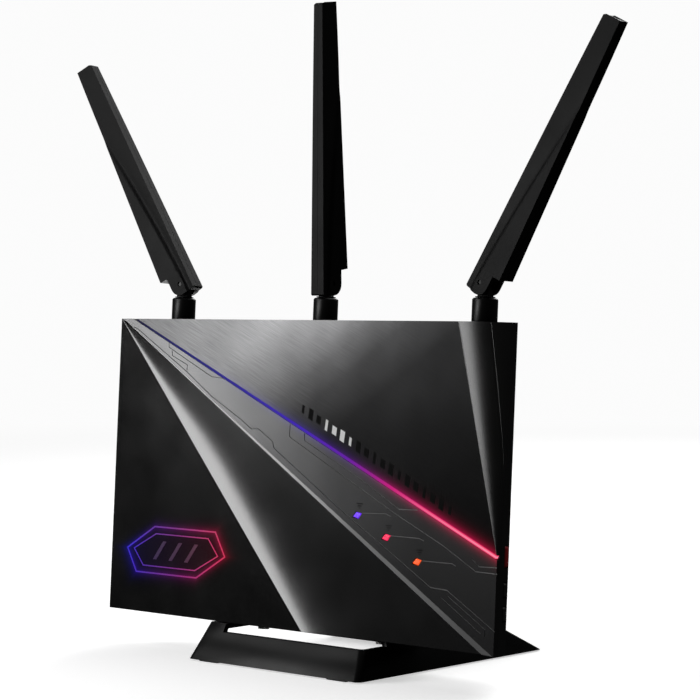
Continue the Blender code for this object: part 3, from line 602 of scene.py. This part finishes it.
def carve(piece, build, operation="DIFFERENCE"):
    """Boolean with a cutter drawn in the piece's own frame, applied at once."""
    bm = bmesh.new()
    build(bm)
    cutter = mesh_object("cutter", bm, piece.matrix_world)
    mod = piece.modifiers.new("carve", "BOOLEAN")
    mod.operation = operation
    mod.solver = "EXACT"
    mod.object = cutter
    bpy.context.view_layer.update()
    graph = bpy.context.evaluated_depsgraph_get()
    old = piece.data
    piece.data = bpy.data.meshes.new_from_object(piece.evaluated_get(graph))
    piece.modifiers.clear()
    bpy.data.meshes.remove(old)
    bpy.data.objects.remove(cutter)


def finish_piece(obj, body, slot, mats, replaces=(), bevel=0.0, segments=2, limit=35.0):
    """Softens the edges, shades it smooth, gives it its materials and its body."""
    for mat in mats:
        obj.data.materials.append(MATS[mat])
    if limit:
        obj.data.shade_smooth()
    if bevel:
        mod = obj.modifiers.new("soft_edges", "BEVEL")
        mod.width = bevel * MM
        mod.segments = segments
        mod.limit_method = "ANGLE"
        mod.angle_limit = math.radians(limit)
        mod.harden_normals = True
    elif limit:
        obj.data.set_sharp_from_angle(angle=math.radians(limit))
    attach(obj, body)
    if replaces:
        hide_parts(*replaces)
    return obj


def new_piece(name, build, matrix, body, slot, mats, **options):
    bm = bmesh.new()
    build(bm)
    return finish_piece(mesh_object(name, bm, matrix), body, slot, mats, **options)


def refine(node, name, body, slot, mat, bevel=0.2, limit=35.0):
    """Copy of a CAD node with its flat faces joined and its edges softened."""
    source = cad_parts[node]
    bm = bmesh.new()
    bm.from_mesh(source.data)
    bmesh.ops.remove_doubles(bm, verts=bm.verts[:], dist=0.001 * MM)
    bmesh.ops.dissolve_limit(
        bm,
        angle_limit=math.radians(0.5),
        verts=bm.verts[:],
        edges=bm.edges[:],
        use_dissolve_boundaries=False,
    )
    obj = mesh_object(name, bm, source.matrix_world)
    return finish_piece(obj, body, slot, [mat], replaces=(node,), bevel=bevel, limit=limit)


def strip_outline(a, b, half, extend=0.0):
    d = (Vector(b) - Vector(a)).normalized()
    n = Vector((-d.y, d.x)) * half
    a2 = Vector(a) - d * extend
    b2 = Vector(b) + d * extend
    return [tuple(a2 - n), tuple(b2 - n), tuple(b2 + n), tuple(a2 + n)]


def path_outline(points, half):
    """Outline of a mitred strip along a polyline."""
    pts = [Vector(p) for p in points]
    left = []
    right = []
    for i, p in enumerate(pts):
        before = (p - pts[i - 1]).normalized() if i else (pts[1] - p).normalized()
        after = (pts[i + 1] - p).normalized() if i < len(pts) - 1 else before
        tangent = (before + after).normalized()
        n = Vector((-tangent.y, tangent.x))
        stretch = half / max(0.5, n.dot(Vector((-after.y, after.x))))
        left.append(tuple(p + n * stretch))
        right.append(tuple(p - n * stretch))
    return right + left[::-1]


# ---- front cover ------------------------------------------------------------------
def left_depth(x):
    """Depth of the flat left facet, which sinks slowly from the left edge to the crease."""
    return CREASE_DEPTH * (x + HW) / (HW + CREASE_X)


SCOOP_STEPS = 90
SCOOP_SLOPE = 0.16


def scoop_profile(t):
    """Depth along the bottom edge from the crease (0) to the trim (1): steep, then flat."""
    run = HW - BAND_W - CREASE_X
    drop = SEAT - CREASE_DEPTH
    bend = SCOOP_SLOPE * run / drop
    return CREASE_DEPTH + drop * (1 - math.exp(-bend * t)) / (1 - math.exp(-bend))


FACET_STEPS = 48
FACET_SLOPE = 0.10
FACET_BEND = 2.8
FACET_START = -0.08
FACET_RUN = 1.24


def facet_depth(t):
    """Depth along the top edge, from the facet's left boundary (0) to the right end (1)."""
    near = FACET_SLOPE * FACET_X / SLAB_T
    return SLAB_T * (near * t + (1 - near) * t ** FACET_BEND)


def cut_facet(bm):
    """Curved wedge, a cone about the point where the light bar meets the right edge."""
    apex = Vector((HW, 0.0, BAR_B[1]))
    reach = 1.3
    front = -30.0
    low = [apex]
    for i in range(FACET_STEPS + 1):
        t = FACET_START + FACET_RUN * i / FACET_STEPS
        depth = facet_depth(t) if t > 0 else FACET_SLOPE * FACET_X * t
        p = Vector((HW - FACET_X * (1 - t), depth, BODY_H))
        low.append(apex + (p - apex) * reach)
    high = [Vector((p.x, front, p.z)) for p in low]
    n = len(low)
    faces = []
    for i in range(1, n - 1):
        faces += [(0, i, i + 1), (n, n + i + 1, n + i), (i, n + i, n + i + 1, i + 1)]
    faces += [(0, n, n + 1, 1), (0, n - 1, 2 * n - 1, n)]
    add_solid(bm, [tuple(p) for p in low + high], faces)


def on_facet(face):
    """True for a face of the curved facet."""
    c = face.center / MM
    edge_x = HW - FACET_X * (c.z - BAR_B[1]) / (BODY_H - BAR_B[1])
    return c.x > edge_x - 0.5 and c.z > BAR_B[1] and face.normal.x > 0.1 and face.normal.y < -0.5


def build_cover():
    trim_x = HW - BAND_W
    apex = (-HW, 0.0, BODY_H)
    points = [apex, (-HW, 0.0, 0.0)]
    base = []
    for i in range(SCOOP_STEPS + 1):
        t = (i / SCOOP_STEPS) ** 2.0
        base.append(len(points))
        points.append((CREASE_X + (trim_x - CREASE_X) * t, scoop_profile(t), 0.0))
    points += [(-HW, SEAT, BODY_H), (HW, SEAT, 0), (HW, SEAT, BODY_H)]
    seat_l, seat_b, seat_t = range(len(points) - 3, len(points))
    points += [(-HW, SLAB_T, BODY_H), (-HW, SLAB_T, 0), (HW, SLAB_T, 0), (HW, SLAB_T, BODY_H)]
    b0 = len(points) - 4
    faces = [(0, 1, base[0])]
    faces += [(0, a, b) for a, b in zip(base, base[1:])]
    faces += [(0, base[-1], seat_l), (seat_l, base[-1], seat_b, seat_t)]
    faces += [(0, seat_l, b0, b0 + 1, 1), (seat_l, seat_t, b0 + 3, b0), (seat_t, seat_b, b0 + 2, b0 + 3)]
    faces += [(1, b0 + 1, b0 + 2, seat_b, *base[::-1]), (b0, b0 + 3, b0 + 2, b0 + 1)]
    bm = bmesh.new()
    add_solid(bm, points, faces)
    cover = mesh_object("front_cover", bm, BODY)

    def pocket(b):
        outline = [(-HW + WALL, WALL), (HW - WALL, WALL), (HW - WALL, BAR_B[1] + 9)]
        outline += [(HW - FACET_X - WALL, BODY_H - WALL), (-HW + WALL, BODY_H - WALL)]
        add_prism(b, outline, SEAT + WALL, SLAB_T + 5)

    def button_holes(b):
        for z, length in SIDE_BUTTONS.values():
            h = length / 2 + GAP
            near, far = SIDE_BUTTON_Y - SIDE_HOLE_FRONT, SIDE_BUTTON_Y + SIDE_HOLE_BACK
            add_box(b, (HW - WALL - 2, near, z - h), (HW + 3, far, z + h))

    carve(cover, pocket)
    carve(cover, cut_facet)
    carve(cover, button_holes)
    crease = Vector((CREASE_X + HW, 0 - BODY_H)).normalized()
    for face in cover.data.polygons:
        c = face.center / MM
        across = (c.x + HW) * -crease.y + (c.z - BODY_H) * crease.x
        if face.normal.y < -0.7 and c.y < SEAT + 1.2:
            face.material_index = 1 if across > 0.01 else 0
        else:
            face.material_index = 2
        if on_facet(face):
            face.material_index = 3
    mats = ["gloss", "satin", "edge", "facet"]
    finish_piece(cover, "casing", "gloss_black", mats, replaces=("front_panel",), limit=0.0)


# ---- brushed plate ------------------------------------------------------------------
CHAMFER_FRONT = 0.8
LINES = [
    # Long lead beside the trim, from the upper left corner to the right end.
    (
        [(-113.4, 141.2), (-110.4, 140.3), (-74.4, 119.8), (-56.3, 108.0), (-36.4, 97.8), (-28.6, 93.2)]
        + [(-24.0, 93.5), (-14.2, 87.8), (-13.5, 84.8), (30.1, 58.4), (58.0, 42.8), (85.6, 27.0)]
        + [(95.2, 26.5), (124.0, 10.0)],
        0.19,
    ),
    ([(-87.6, 134.4), (-87.4, 131.4), (-56.9, 117.5), (-48.4, 116.8)], 0.18),
    ([(-85.1, 129.8), (-84.9, 127.4), (-73.9, 122.9), (-74.2, 120.4)], 0.17),
    (
        [(-3.4, 96.4), (-3.5, 90.5), (34.6, 72.2), (62.5, 58.8), (91.8, 46.0), (111.0, 35.9)]
        + [(124.0, 35.7)],
        0.19,
    ),
    ([(6.0, 92.6), (6.1, 89.2), (41.6, 73.0), (65.6, 60.4), (76.6, 60.8)], 0.18),
    ([(108.5, 41.4), (112.7, 38.2), (124.0, 38.5)], 0.18),
    ([(91.9, 23.1), (115.1, 9.1)], 0.17),
    ([(95.9, 23.9), (117.2, 11.2), (117.6, 7.9)], 0.17),
    ([(43.4, 57.4), (57.8, 58.0), (61.1, 56.9)], 0.17),
    ([(61.4, 48.3), (78.3, 48.2), (80.9, 47.2)], 0.17),
    ([(80.2, 38.4), (97.7, 38.4), (99.7, 37.4)], 0.17),
]
LINE_DEPTH = 0.30


def bar_outline(grow, start, end):
    """The light bar is slim at its upper left end and widens to the right."""
    a, b = Vector(BAR_A), Vector(BAR_B)
    d = (b - a).normalized()
    n = Vector((-d.y, d.x))
    a2, b2 = a + d * start, b + d * end
    thin = BAR_W * 0.24 + grow
    wide = BAR_W * 0.44 + grow
    return [tuple(a2 - n * thin), tuple(b2 - n * wide), tuple(b2 + n * wide), tuple(a2 + n * thin)]


def bar_line_z(x):
    return BAR_A[1] + (x - BAR_A[0]) * math.tan(BAR_ANGLE)


def build_plate():
    outline0 = [(-HW + 1.3, BODY_H), (HW - CHAMFER_FRONT, 0), (HW, 0), (HW, BODY_H)]
    outline1 = [(-HW + 1.0, BODY_H), (HW - BAND_W + 1.0, 0), (HW, 0), (HW, BODY_H)]
    back = SEAT - 0.02
    points = [(x, 0, z) for x, z in outline0] + [(x, back, z) for x, z in outline1]
    faces = [(0, 1, 2, 3), (7, 6, 5, 4), (0, 4, 5, 1), (1, 5, 6, 2), (2, 6, 7, 3), (3, 7, 4, 0)]
    bm = bmesh.new()
    add_solid(bm, points, faces)
    plate = mesh_object("brushed_front", bm, BODY)
    corner = Vector(points[4])
    chamfer_n = (Vector(points[5]) - corner).cross(Vector(points[0]) - corner).normalized()
    bar_floor = 2.0
    carve(plate, cut_facet)
    groove = bar_outline(GAP * 0.4, -12.0, 12.0)
    carve(plate, lambda b: add_prism(b, groove, -3.0, bar_floor))
    for centre in LENS_CENTRES:
        carve(plate, lambda b, c=centre: add_prism(b, lens_outline(c, 1.9, 1.4), -3.0, PLATE_T - 0.1))
    for line, half in LINES:
        carve(plate, lambda b, p=line, h=half: add_prism(b, path_outline(p, h), -2.0, LINE_DEPTH))
    for face in plate.data.polygons:
        c = face.center / MM
        if abs(face.normal.dot(chamfer_n)) > 0.999:
            face.material_index = 2
        elif face.normal.y < -0.99 and c.y < 0.01:
            face.material_index = 0 if c.z > bar_line_z(c.x) else 1
        elif on_facet(face):
            face.material_index = 4
        elif 0.01 < c.y < LINE_DEPTH + 0.01:
            face.material_index = 5
        else:
            face.material_index = 3
    finish_piece(
        plate,
        "casing",
        "brushed_plate",
        ["plate", "band", "chamfer", "groove", "facet", "line"],
        replaces=("brushed_plate",),
        limit=0.0,
    )


TRIM_W = 7.4


def build_trim():
    """Long sloping edge of the front plate, which widens from nothing to the bottom right."""
    x1 = HW - CHAMFER_FRONT
    points = [(-HW + 1.3, 0.0, BODY_H), (x1 - TRIM_W, 2.2, 0.0), (x1, 0.0, 0.0)]
    points += [(-HW + 1.2, 2.4, BODY_H), (x1 - TRIM_W + 0.3, 2.9, 0.0), (x1, 2.9, 0.0)]
    bm = bmesh.new()
    add_solid(bm, points, [(0, 1, 2), (3, 5, 4), (0, 3, 4, 1), (1, 4, 5, 2), (2, 5, 3, 0)])
    trim = mesh_object("plate_trim", bm, BODY)
    finish_piece(trim, "casing", "brushed_plate", ["trim"], replaces=("brushed_plate",), limit=0.0)


def lens_outline(c, half_w, half_h, slant=1.0):
    x, z = c
    return [
        (x - half_w - slant, z - half_h + 0.4),
        (x + half_w - slant, z - half_h - 0.4),
        (x + half_w + slant, z + half_h - 0.4),
        (x - half_w + slant, z + half_h + 0.4),
    ]


def build_lights():
    outline = bar_outline(0.0, 1.5, -0.6)
    new_piece(
        "glow_bar",
        lambda bm: add_prism(bm, outline, 0.1, 1.7),
        BODY,
        "casing",
        "glow_plastic",
        ["bar"],
        replaces=("light_bar",),
        bevel=0.12,
    )
    for centre, colour in zip(LENS_CENTRES, LENS_COLOURS):
        new_piece(
            "status_light_" + colour,
            lambda bm, c=centre: add_prism(bm, lens_outline(c, 1.6, 1.1), 0.02, PLATE_T - 0.2),
            BODY,
            "casing",
            "glow_plastic",
            [colour],
            replaces=("status_lens_" + colour,),
            bevel=0.35,
            segments=3,
        )


def hexagon(scale_x, scale_z, shift=(0, 0)):
    cx, cz = EMBLEM_MID[0] + shift[0], EMBLEM_MID[1] + shift[1]
    lx, lz = EMBLEM_HALF
    sh = EMBLEM_SHEAR * scale_z
    lx, lz = lx * scale_x, lz * scale_z
    corners = [(-lx, 0), (-lx * 0.62 + sh, lz), (lx * 0.62 + sh, lz)]
    corners += [(lx, 0), (lx * 0.62 - sh, -lz), (-lx * 0.62 - sh, -lz)]
    return [(cx + x, cz + z) for x, z in corners]


def add_loop(bm, outline, width, top, under):
    """Closed band of one width round an outline, lying on the left facet."""
    n = len(outline)
    outer = []
    inner = []
    for i in range(n):
        p = Vector(outline[i])
        d0 = (p - Vector(outline[i - 1])).normalized()
        d1 = (Vector(outline[(i + 1) % n]) - p).normalized()
        side = Vector((-(d0 + d1).y, (d0 + d1).x)).normalized()
        reach = width / 2 / max(0.4, side.dot(Vector((-d1.y, d1.x))))
        outer.append(p + side * reach)
        inner.append(p - side * reach)
    points = []
    for ring in (outer, inner):
        for off in (top, under):
            points += [(x, left_depth(x) + off, z) for x, z in ring]
    faces = []
    for i in range(n):
        j = (i + 1) % n
        faces.append((i, j, 2 * n + j, 2 * n + i))
        faces.append((n + j, n + i, 3 * n + i, 3 * n + j))
        faces.append((j, i, n + i, n + j))
        faces.append((2 * n + i, 2 * n + j, 3 * n + j, 3 * n + i))
    add_solid(bm, points, faces)


def build_emblem():
    """Generic slanted hexagon mark: two thin glowing rings with three slashes inside."""

    def rings(bm):
        add_loop(bm, hexagon(1.0, 1.0), 0.7, -0.12, 0.3)
        add_loop(bm, hexagon(0.86, 0.7), 0.55, -0.12, 0.3)

    new_piece(
        "emblem_mark",
        rings,
        BODY,
        "casing",
        "glow_plastic",
        ["emblem"],
        replaces=("emblem_lens",),
        limit=30.0,
    )

    def slashes(bm):
        cx, cz = EMBLEM_MID
        for k in (-1, 0, 1):
            x = cx + k * 11.0
            outline = [(x - 4.6, cz - 4.6), (x - 2.2, cz - 4.6), (x + 4.6, cz + 4.6), (x + 2.2, cz + 4.6)]
            add_prism(
                bm,
                outline,
                lambda px, _: left_depth(px) - 0.10,
                lambda px, _: left_depth(px) + 0.3,
            )

    new_piece("emblem_slashes", slashes, BODY, "casing", "glow_plastic", ["emblem_dim"], limit=30.0)


MARK_START = (4.6, 103.6)
MARK_END = (95.2, 61.8)
MARK_COUNT = 19
MARK_BRIGHT = (3, 7)


def build_marks():
    """Generic dashes where a maker would print a word."""
    a, b = Vector(MARK_START), Vector(MARK_END)
    step = (b - a) / (MARK_COUNT - 1)
    d = step.normalized()
    up = Vector((0.12, 1.0)).normalized()

    def dashes(bm, chosen):
        for i in chosen:
            wide = 1.5 if i % 3 else 0.8
            tall = 2.5 if i % 2 else 1.9
            c = a + step * i
            outline = [c - d * wide - up * tall, c + d * wide - up * tall]
            outline += [c + d * wide + up * tall, c - d * wide + up * tall]
            add_prism(bm, [tuple(p) for p in outline], -0.06, 0.02)

    bright = range(*MARK_BRIGHT)
    dull = [i for i in range(MARK_COUNT) if i not in bright]
    for name, mat, chosen in (("mark_dashes", "ink", dull), ("mark_dashes_pale", "pale_ink", bright)):
        new_piece(
            name, lambda bm, c=chosen: dashes(bm, c), BODY, "casing", "brushed_plate", [mat], limit=30.0
        )

    def icons(bm):
        for x, z in LENS_CENTRES:
            for k, half in enumerate((0.5, 1.2, 1.9)):
                zz = z + 3.4 + k * 1.0
                add_prism(bm, strip_outline((x + 1.4 - half, zz), (x + 1.4 + half, zz), 0.2), -0.05, 0.02)

    new_piece("light_icons", icons, BODY, "casing", "brushed_plate", ["ink"], limit=30.0)


# ---- rear ------------------------------------------------------------------------
USB_X = (80.0, 62.0)
WAN_X = 35.0
LAN_X = -10.0
LAN_PITCH = 15.5
CONTACT_PITCH = 1.02
USB_PIN_PITCH = 2.5


def build_rear():
    refine("rear_housing", "rear_shell", "casing", "matte_black", "matte", 0.35)
    for k in range(1, 5):
        refine("case_screw_%d" % k, "rear_screw_%d" % k, "casing", "plated_steel", "steel", 0.12)
    refine("wan_jack", "wan_port", "casing", "port_plastic", "port", 0.15)
    refine("lan_jack_block", "lan_ports", "casing", "port_plastic", "port", 0.15)
    refine("dc_jack", "dc_inlet_body", "casing", "port_plastic", "port", 0.15)
    for tag in ("a", "b"):
        refine("usb_port_" + tag, "usb_shell_" + tag, "casing", "plated_steel", "steel", 0.15)

    y1 = HOUSING_DEPTH - 2.0
    y0 = HOUSING_DEPTH - 12.6

    def contacts(bm):
        centres = [WAN_X] + [LAN_X + (i - 1.5) * LAN_PITCH for i in range(4)]
        for cx in centres:
            for k in range(8):
                x = cx + (k - 3.5) * CONTACT_PITCH
                add_box(bm, (x - 0.2, y0, PORT_Z + 3.4), (x + 0.2, y1, PORT_Z + 3.75))
                add_box(bm, (x - 0.2, y0, PORT_Z + 1.0), (x + 0.2, y0 + 0.35, PORT_Z + 3.4))

    new_piece("port_contacts", contacts, BODY, "casing", "gold_plated_brass", ["gold"], limit=30.0)

    def tongues(bm):
        for x in USB_X:
            add_box(bm, (x - 1.9, y0, PORT_Z - 5.6), (x - 0.1, y1 + 0.6, PORT_Z + 5.6))

    new_piece("usb_tongues", tongues, BODY, "casing", "port_plastic", ["tongue"], bevel=0.2)

    def usb_pins(bm):
        for x in USB_X:
            for k in range(4):
                z = PORT_Z + (k - 1.5) * USB_PIN_PITCH
                add_box(bm, (x - 0.1, y0 + 1, z - 0.5), (x + 0.05, y1 + 0.2, z + 0.5))

    new_piece("usb_contacts", usb_pins, BODY, "casing", "gold_plated_brass", ["gold"], limit=30.0)


def dress_inside():
    """CAD nodes that stay show their own shape, with a finished material."""
    wanted = {
        "light_board": "board",
        "main_board": "board",
        "internal_antenna": "board",
        "heat_sink": "alu",
        "thermal_pad": "pad",
        "shield_can": "steel",
        "stand_screw_1": "steel",
        "stand_screw_2": "steel",
    }
    for tag in ANTENNAS:
        wanted["jack_" + tag] = "gold"
        wanted["hinge_pin_" + tag] = "collar"
        wanted["radiator_" + tag] = "board"
    for node, mat in wanted.items():
        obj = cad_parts[node]
        obj.data.materials.clear()
        obj.data.materials.append(MATS[mat])


def build_buttons():
    refine("power_button", "power_cap", "power_button", "port_plastic", "port", 0.25)
    refine("reset_button", "reset_cap", "reset_button", "port_plastic", "port", 0.15)
    for name in SIDE_BUTTONS:
        red = name == "boost_button"
        slot = "red_plastic" if red else "port_plastic"
        refine(name, name.replace("button", "cap"), name, slot, "red" if red else "port", 0.3)


# ---- stand ----------------------------------------------------------------------
def build_stand():
    refine("stand", "stand_loop_shell", "casing", "matte_black", "stand", 0.45, 28.0)
    for end in ("front", "rear"):
        for side in ("left", "right"):
            node = "foot_%s_%s" % (end, side)
            refine(node, "pad_%s_%s" % (end, side), "casing", "rubber_foot", "rubber", 0.1)


# ---- antennas ---------------------------------------------------------------------
BLADE_ROWS = 54
BLADE_COLUMNS = 18
BLADE_TOP = ANT_LEN + 0.5
LEDGE_Z = 7.2


def blade_half(z):
    return (BLADE_T0 + (BLADE_T1 - BLADE_T0) * z / ANT_LEN) / 2


def blade_left(z):
    if z >= LEDGE_Z:
        return -10.2 + (z - LEDGE_Z) / (BLADE_TOP - LEDGE_Z) * 6.2
    if z >= 0:
        return -LOBE_R
    return -math.sqrt(max(0.0, LOBE_R ** 2 - z * z))


def blade_right(z):
    return min(6.6, 6.0 + (z + LOBE_R)) if z < -LOBE_R + 0.6 else 6.6 - 0.6 * (z / ANT_LEN)


def blade_top(x):
    if x < 4.6:
        return BLADE_TOP - (x + 4.0) / 8.6 * 1.1
    return ANT_LEN - 0.6 - (x - 4.6) / 1.4 * 1.0


def groove_x(z):
    """Line of the groove: at the outer edge near the top, sweeping to the inner side."""
    t = min(1.0, max(0.0, (z + 6) / 112.0))
    return 2.7 - 11.5 * t ** 1.5


def blade_dip(x, z):
    """How far the face sinks to the inner side of the groove line."""
    over = x - groove_x(z)
    if over <= 0:
        return 0.0
    fade = min(1.0, max(0.0, (118.0 - z) / 60.0))
    fall = 1 - math.exp(-over / 0.7)
    rise = math.exp(-over / 4.2)
    return 1.25 * fade * fall * rise


def add_blade(bm, side):
    heights = [-LOBE_R + 0.02, -5.1, -4.2, -3.0, -1.6, 0.0, 3.0, LEDGE_Z - 0.7, LEDGE_Z]
    count = BLADE_ROWS - len(heights)
    heights += [LEDGE_Z + (BLADE_TOP - LEDGE_Z) * (i + 1) / count for i in range(count)]
    rings = []
    for k, z in enumerate(heights):
        x0, x1 = blade_left(z), blade_right(z)
        if k == 0:
            x0 = -0.5
        ring = []
        for i in range(BLADE_COLUMNS + 1):
            x = x0 + (x1 - x0) * i / BLADE_COLUMNS
            zz = min(z, blade_top(x)) if k > 20 else z
            ring.append((x, side * (blade_half(zz) - blade_dip(x, zz)), zz))
        inner = side * GAP / 4
        ring += [(x1, inner, ring[-1][2]), (x0, inner, ring[0][2])]
        rings.append(ring)
    add_loft(bm, rings)


def build_antenna(tag, x, turn, tilt):
    base = BODY @ Matrix.Translation(Vector((x, ANT_DEPTH, BODY_H)) * MM)
    swivel = base @ Matrix.Rotation(turn, 4, "Z")
    hinge = swivel @ Matrix.Translation((0, 0, PIVOT_H * MM)) @ Matrix.Rotation(-tilt, 4, "Y")
    refine("nut_" + tag, "collar_" + tag, "nut_" + tag, "matte_black", "collar", 0.2)
    refine("swivel_" + tag, "neck_" + tag, "swivel_" + tag, "matte_black", "collar", 0.2)

    def slot(bm):
        t = TONGUE_T / 2 + GAP
        outline = [(4.0, -8), (4.0, 2.6), (2.6, 4.0), (-12, 4.0), (-12, -8)]
        add_prism(bm, outline, -t, t)

    def hollow(bm, s):
        z0, z1 = 10.0, ANT_LEN - 4.0
        outline = [(4.8, z0), (4.4, z1), (-2.4, z1), (-8.2, z0)]
        add_prism(bm, outline, 0.9 * s, -2.0 * s)

    for name, s in (("front", -1), ("back", 1)):
        bm = bmesh.new()
        add_blade(bm, s)
        shell = mesh_object("blade_shell_%s_%s" % (name, tag), bm, hinge)
        carve(shell, lambda b, s=s: hollow(b, s))
        carve(shell, slot)
        carve(shell, lambda b: add_lathe(b, [(0, -7), (1.15, -7), (1.15, 7), (0, 7)], "Y"))
        finish_piece(
            shell,
            "blade_" + tag,
            "matte_black",
            ["matte"],
            replaces=("blade_%s_%s" % (name, tag),),
            bevel=0.22,
            limit=40.0,
        )


# ---- studio -------------------------------------------------------------------------
FLOOR_RADIUS = 6.0
FLOOR_BLEND = (0.7, 2.2)
BACKDROP = 0.97
FLOOR_GLOW = 0.55
FLOOR_BOUNCE = 0.03


def build_floor():
    """Pale round floor, whose far part has the backdrop's brightness."""
    bm = bmesh.new()
    bmesh.ops.create_circle(bm, cap_ends=True, segments=96, radius=FLOOR_RADIUS)
    mesh = bpy.data.meshes.new("floor")
    bm.to_mesh(mesh)
    bm.free()
    floor = bpy.data.objects.new("floor", mesh)
    bpy.context.scene.collection.objects.link(floor)
    floor.location.z = -0.0002
    mat, tree, shader = new_material("floor_paper")
    shader.inputs["Roughness"].default_value = 0.9
    shader.inputs["Specular IOR Level"].default_value = 0.1
    shader.inputs["Base Color"].default_value = (0.86, 0.86, 0.86, 1)
    coords = object_coords(tree)
    far = add_node(tree, "ShaderNodeVectorMath", {0: coords}, operation="LENGTH").outputs["Value"]
    blend = add_node(
        tree,
        "ShaderNodeMapRange",
        {"Value": far, "From Min": FLOOR_BLEND[0], "From Max": FLOOR_BLEND[1]},
        interpolation_type="SMOOTHSTEP",
    )
    shader.inputs["Emission Color"].default_value = (1, 1, 1, 1)
    shader.inputs["Emission Strength"].default_value = FLOOR_GLOW
    glow = add_node(
        tree, "ShaderNodeEmission", {"Color": (BACKDROP, BACKDROP, BACKDROP, 1), "Strength": 1.0}
    )
    mix = add_node(tree, "ShaderNodeMixShader", {0: blend.outputs["Result"]})
    tree.links.new(shader.outputs["BSDF"], mix.inputs[1])
    tree.links.new(glow.outputs["Emission"], mix.inputs[2])
    # Only the camera sees the bright paper; the glossy faces see a dim floor, as in a dark studio.
    dim = add_node(tree, "ShaderNodeEmission", {"Color": (1, 1, 1, 1), "Strength": FLOOR_BOUNCE})
    rays = add_node(tree, "ShaderNodeLightPath")
    seen = add_node(tree, "ShaderNodeMixShader", {0: rays.outputs["Is Camera Ray"]})
    tree.links.new(dim.outputs["Emission"], seen.inputs[1])
    tree.links.new(mix.outputs["Shader"], seen.inputs[2])
    tree.links.new(seen.outputs["Shader"], tree.nodes["Material Output"].inputs["Surface"])
    mesh.materials.append(mat)


def add_light(name, place, aim, size, power):
    data = bpy.data.lights.new(name, "AREA")
    data.shape = "RECTANGLE"
    data.size, data.size_y = size
    data.energy = power
    lamp = bpy.data.objects.new(name, data)
    bpy.context.scene.collection.objects.link(lamp)
    lamp.location = place
    lamp.rotation_euler = (Vector(aim) - Vector(place)).to_track_quat("-Z", "Y").to_euler()
    lamp.visible_camera = False


def build_studio():
    build_floor()
    add_light("top_softbox", (0.2, 0.9, 1.9), (0.1, 0.3, 0.0), (2.0, 2.0), 22.0)
    add_light("corner_softbox", (-0.52, -0.42, 0.50), (-0.12, -0.05, 0.13), (0.30, 0.22), 0.9)
    add_light("strip_softbox", (-0.464, -0.799, 0.265), (-0.107, -0.001, 0.12), (0.44, 0.24), 4.0)
    add_light("floor_card", (-0.38, 0.10, 0.004), (-0.38, 0.10, 1.0), (0.36, 0.26), 2.2)
    add_light("rear_softbox", (-0.5, 1.5, 0.9), (0.0, 0.0, 0.1), (0.9, 0.7), 9.0)
    world = bpy.context.scene.world or bpy.data.worlds.new("studio")
    bpy.context.scene.world = world
    world.use_nodes = True
    tree = world.node_tree
    tree.nodes.clear()
    rays = add_node(tree, "ShaderNodeLightPath")
    dim = add_node(tree, "ShaderNodeBackground", {"Color": (1, 1, 1, 1), "Strength": 0.05})
    pale = add_node(tree, "ShaderNodeBackground", {"Color": (1, 1, 1, 1), "Strength": BACKDROP})
    mix = add_node(tree, "ShaderNodeMixShader", {0: rays.outputs["Is Camera Ray"]})
    out = add_node(tree, "ShaderNodeOutputWorld")
    tree.links.new(dim.outputs[0], mix.inputs[1])
    tree.links.new(pale.outputs[0], mix.inputs[2])
    tree.links.new(mix.outputs[0], out.inputs["Surface"])
    bpy.context.scene.view_settings.view_transform = "Standard"


CAMERA_PLACE = (0.7455, -0.8494, 0.1725)
CAMERA_YAW = math.radians(41.7)
CAMERA_PITCH = math.radians(1.23)
CAMERA_LENS = 119.83
CAMERA_SENSOR = 36.0


def build_camera():
    data = bpy.data.cameras.new("camera")
    data.lens = CAMERA_LENS
    data.sensor_width = CAMERA_SENSOR
    camera = bpy.data.objects.new("camera", data)
    bpy.context.scene.collection.objects.link(camera)
    camera.location = CAMERA_PLACE
    camera.rotation_euler = (math.pi / 2 - CAMERA_PITCH, 0, CAMERA_YAW)
    bpy.context.scene.camera = camera


def main():
    build_camera()
    build_studio()
    build_cover()
    build_plate()
    build_trim()
    build_lights()
    build_emblem()
    build_marks()
    build_rear()
    dress_inside()
    build_buttons()
    build_stand()
    for tag, (x, turn, tilt) in ANTENNAS.items():
        build_antenna(tag, x, turn, tilt)


main()
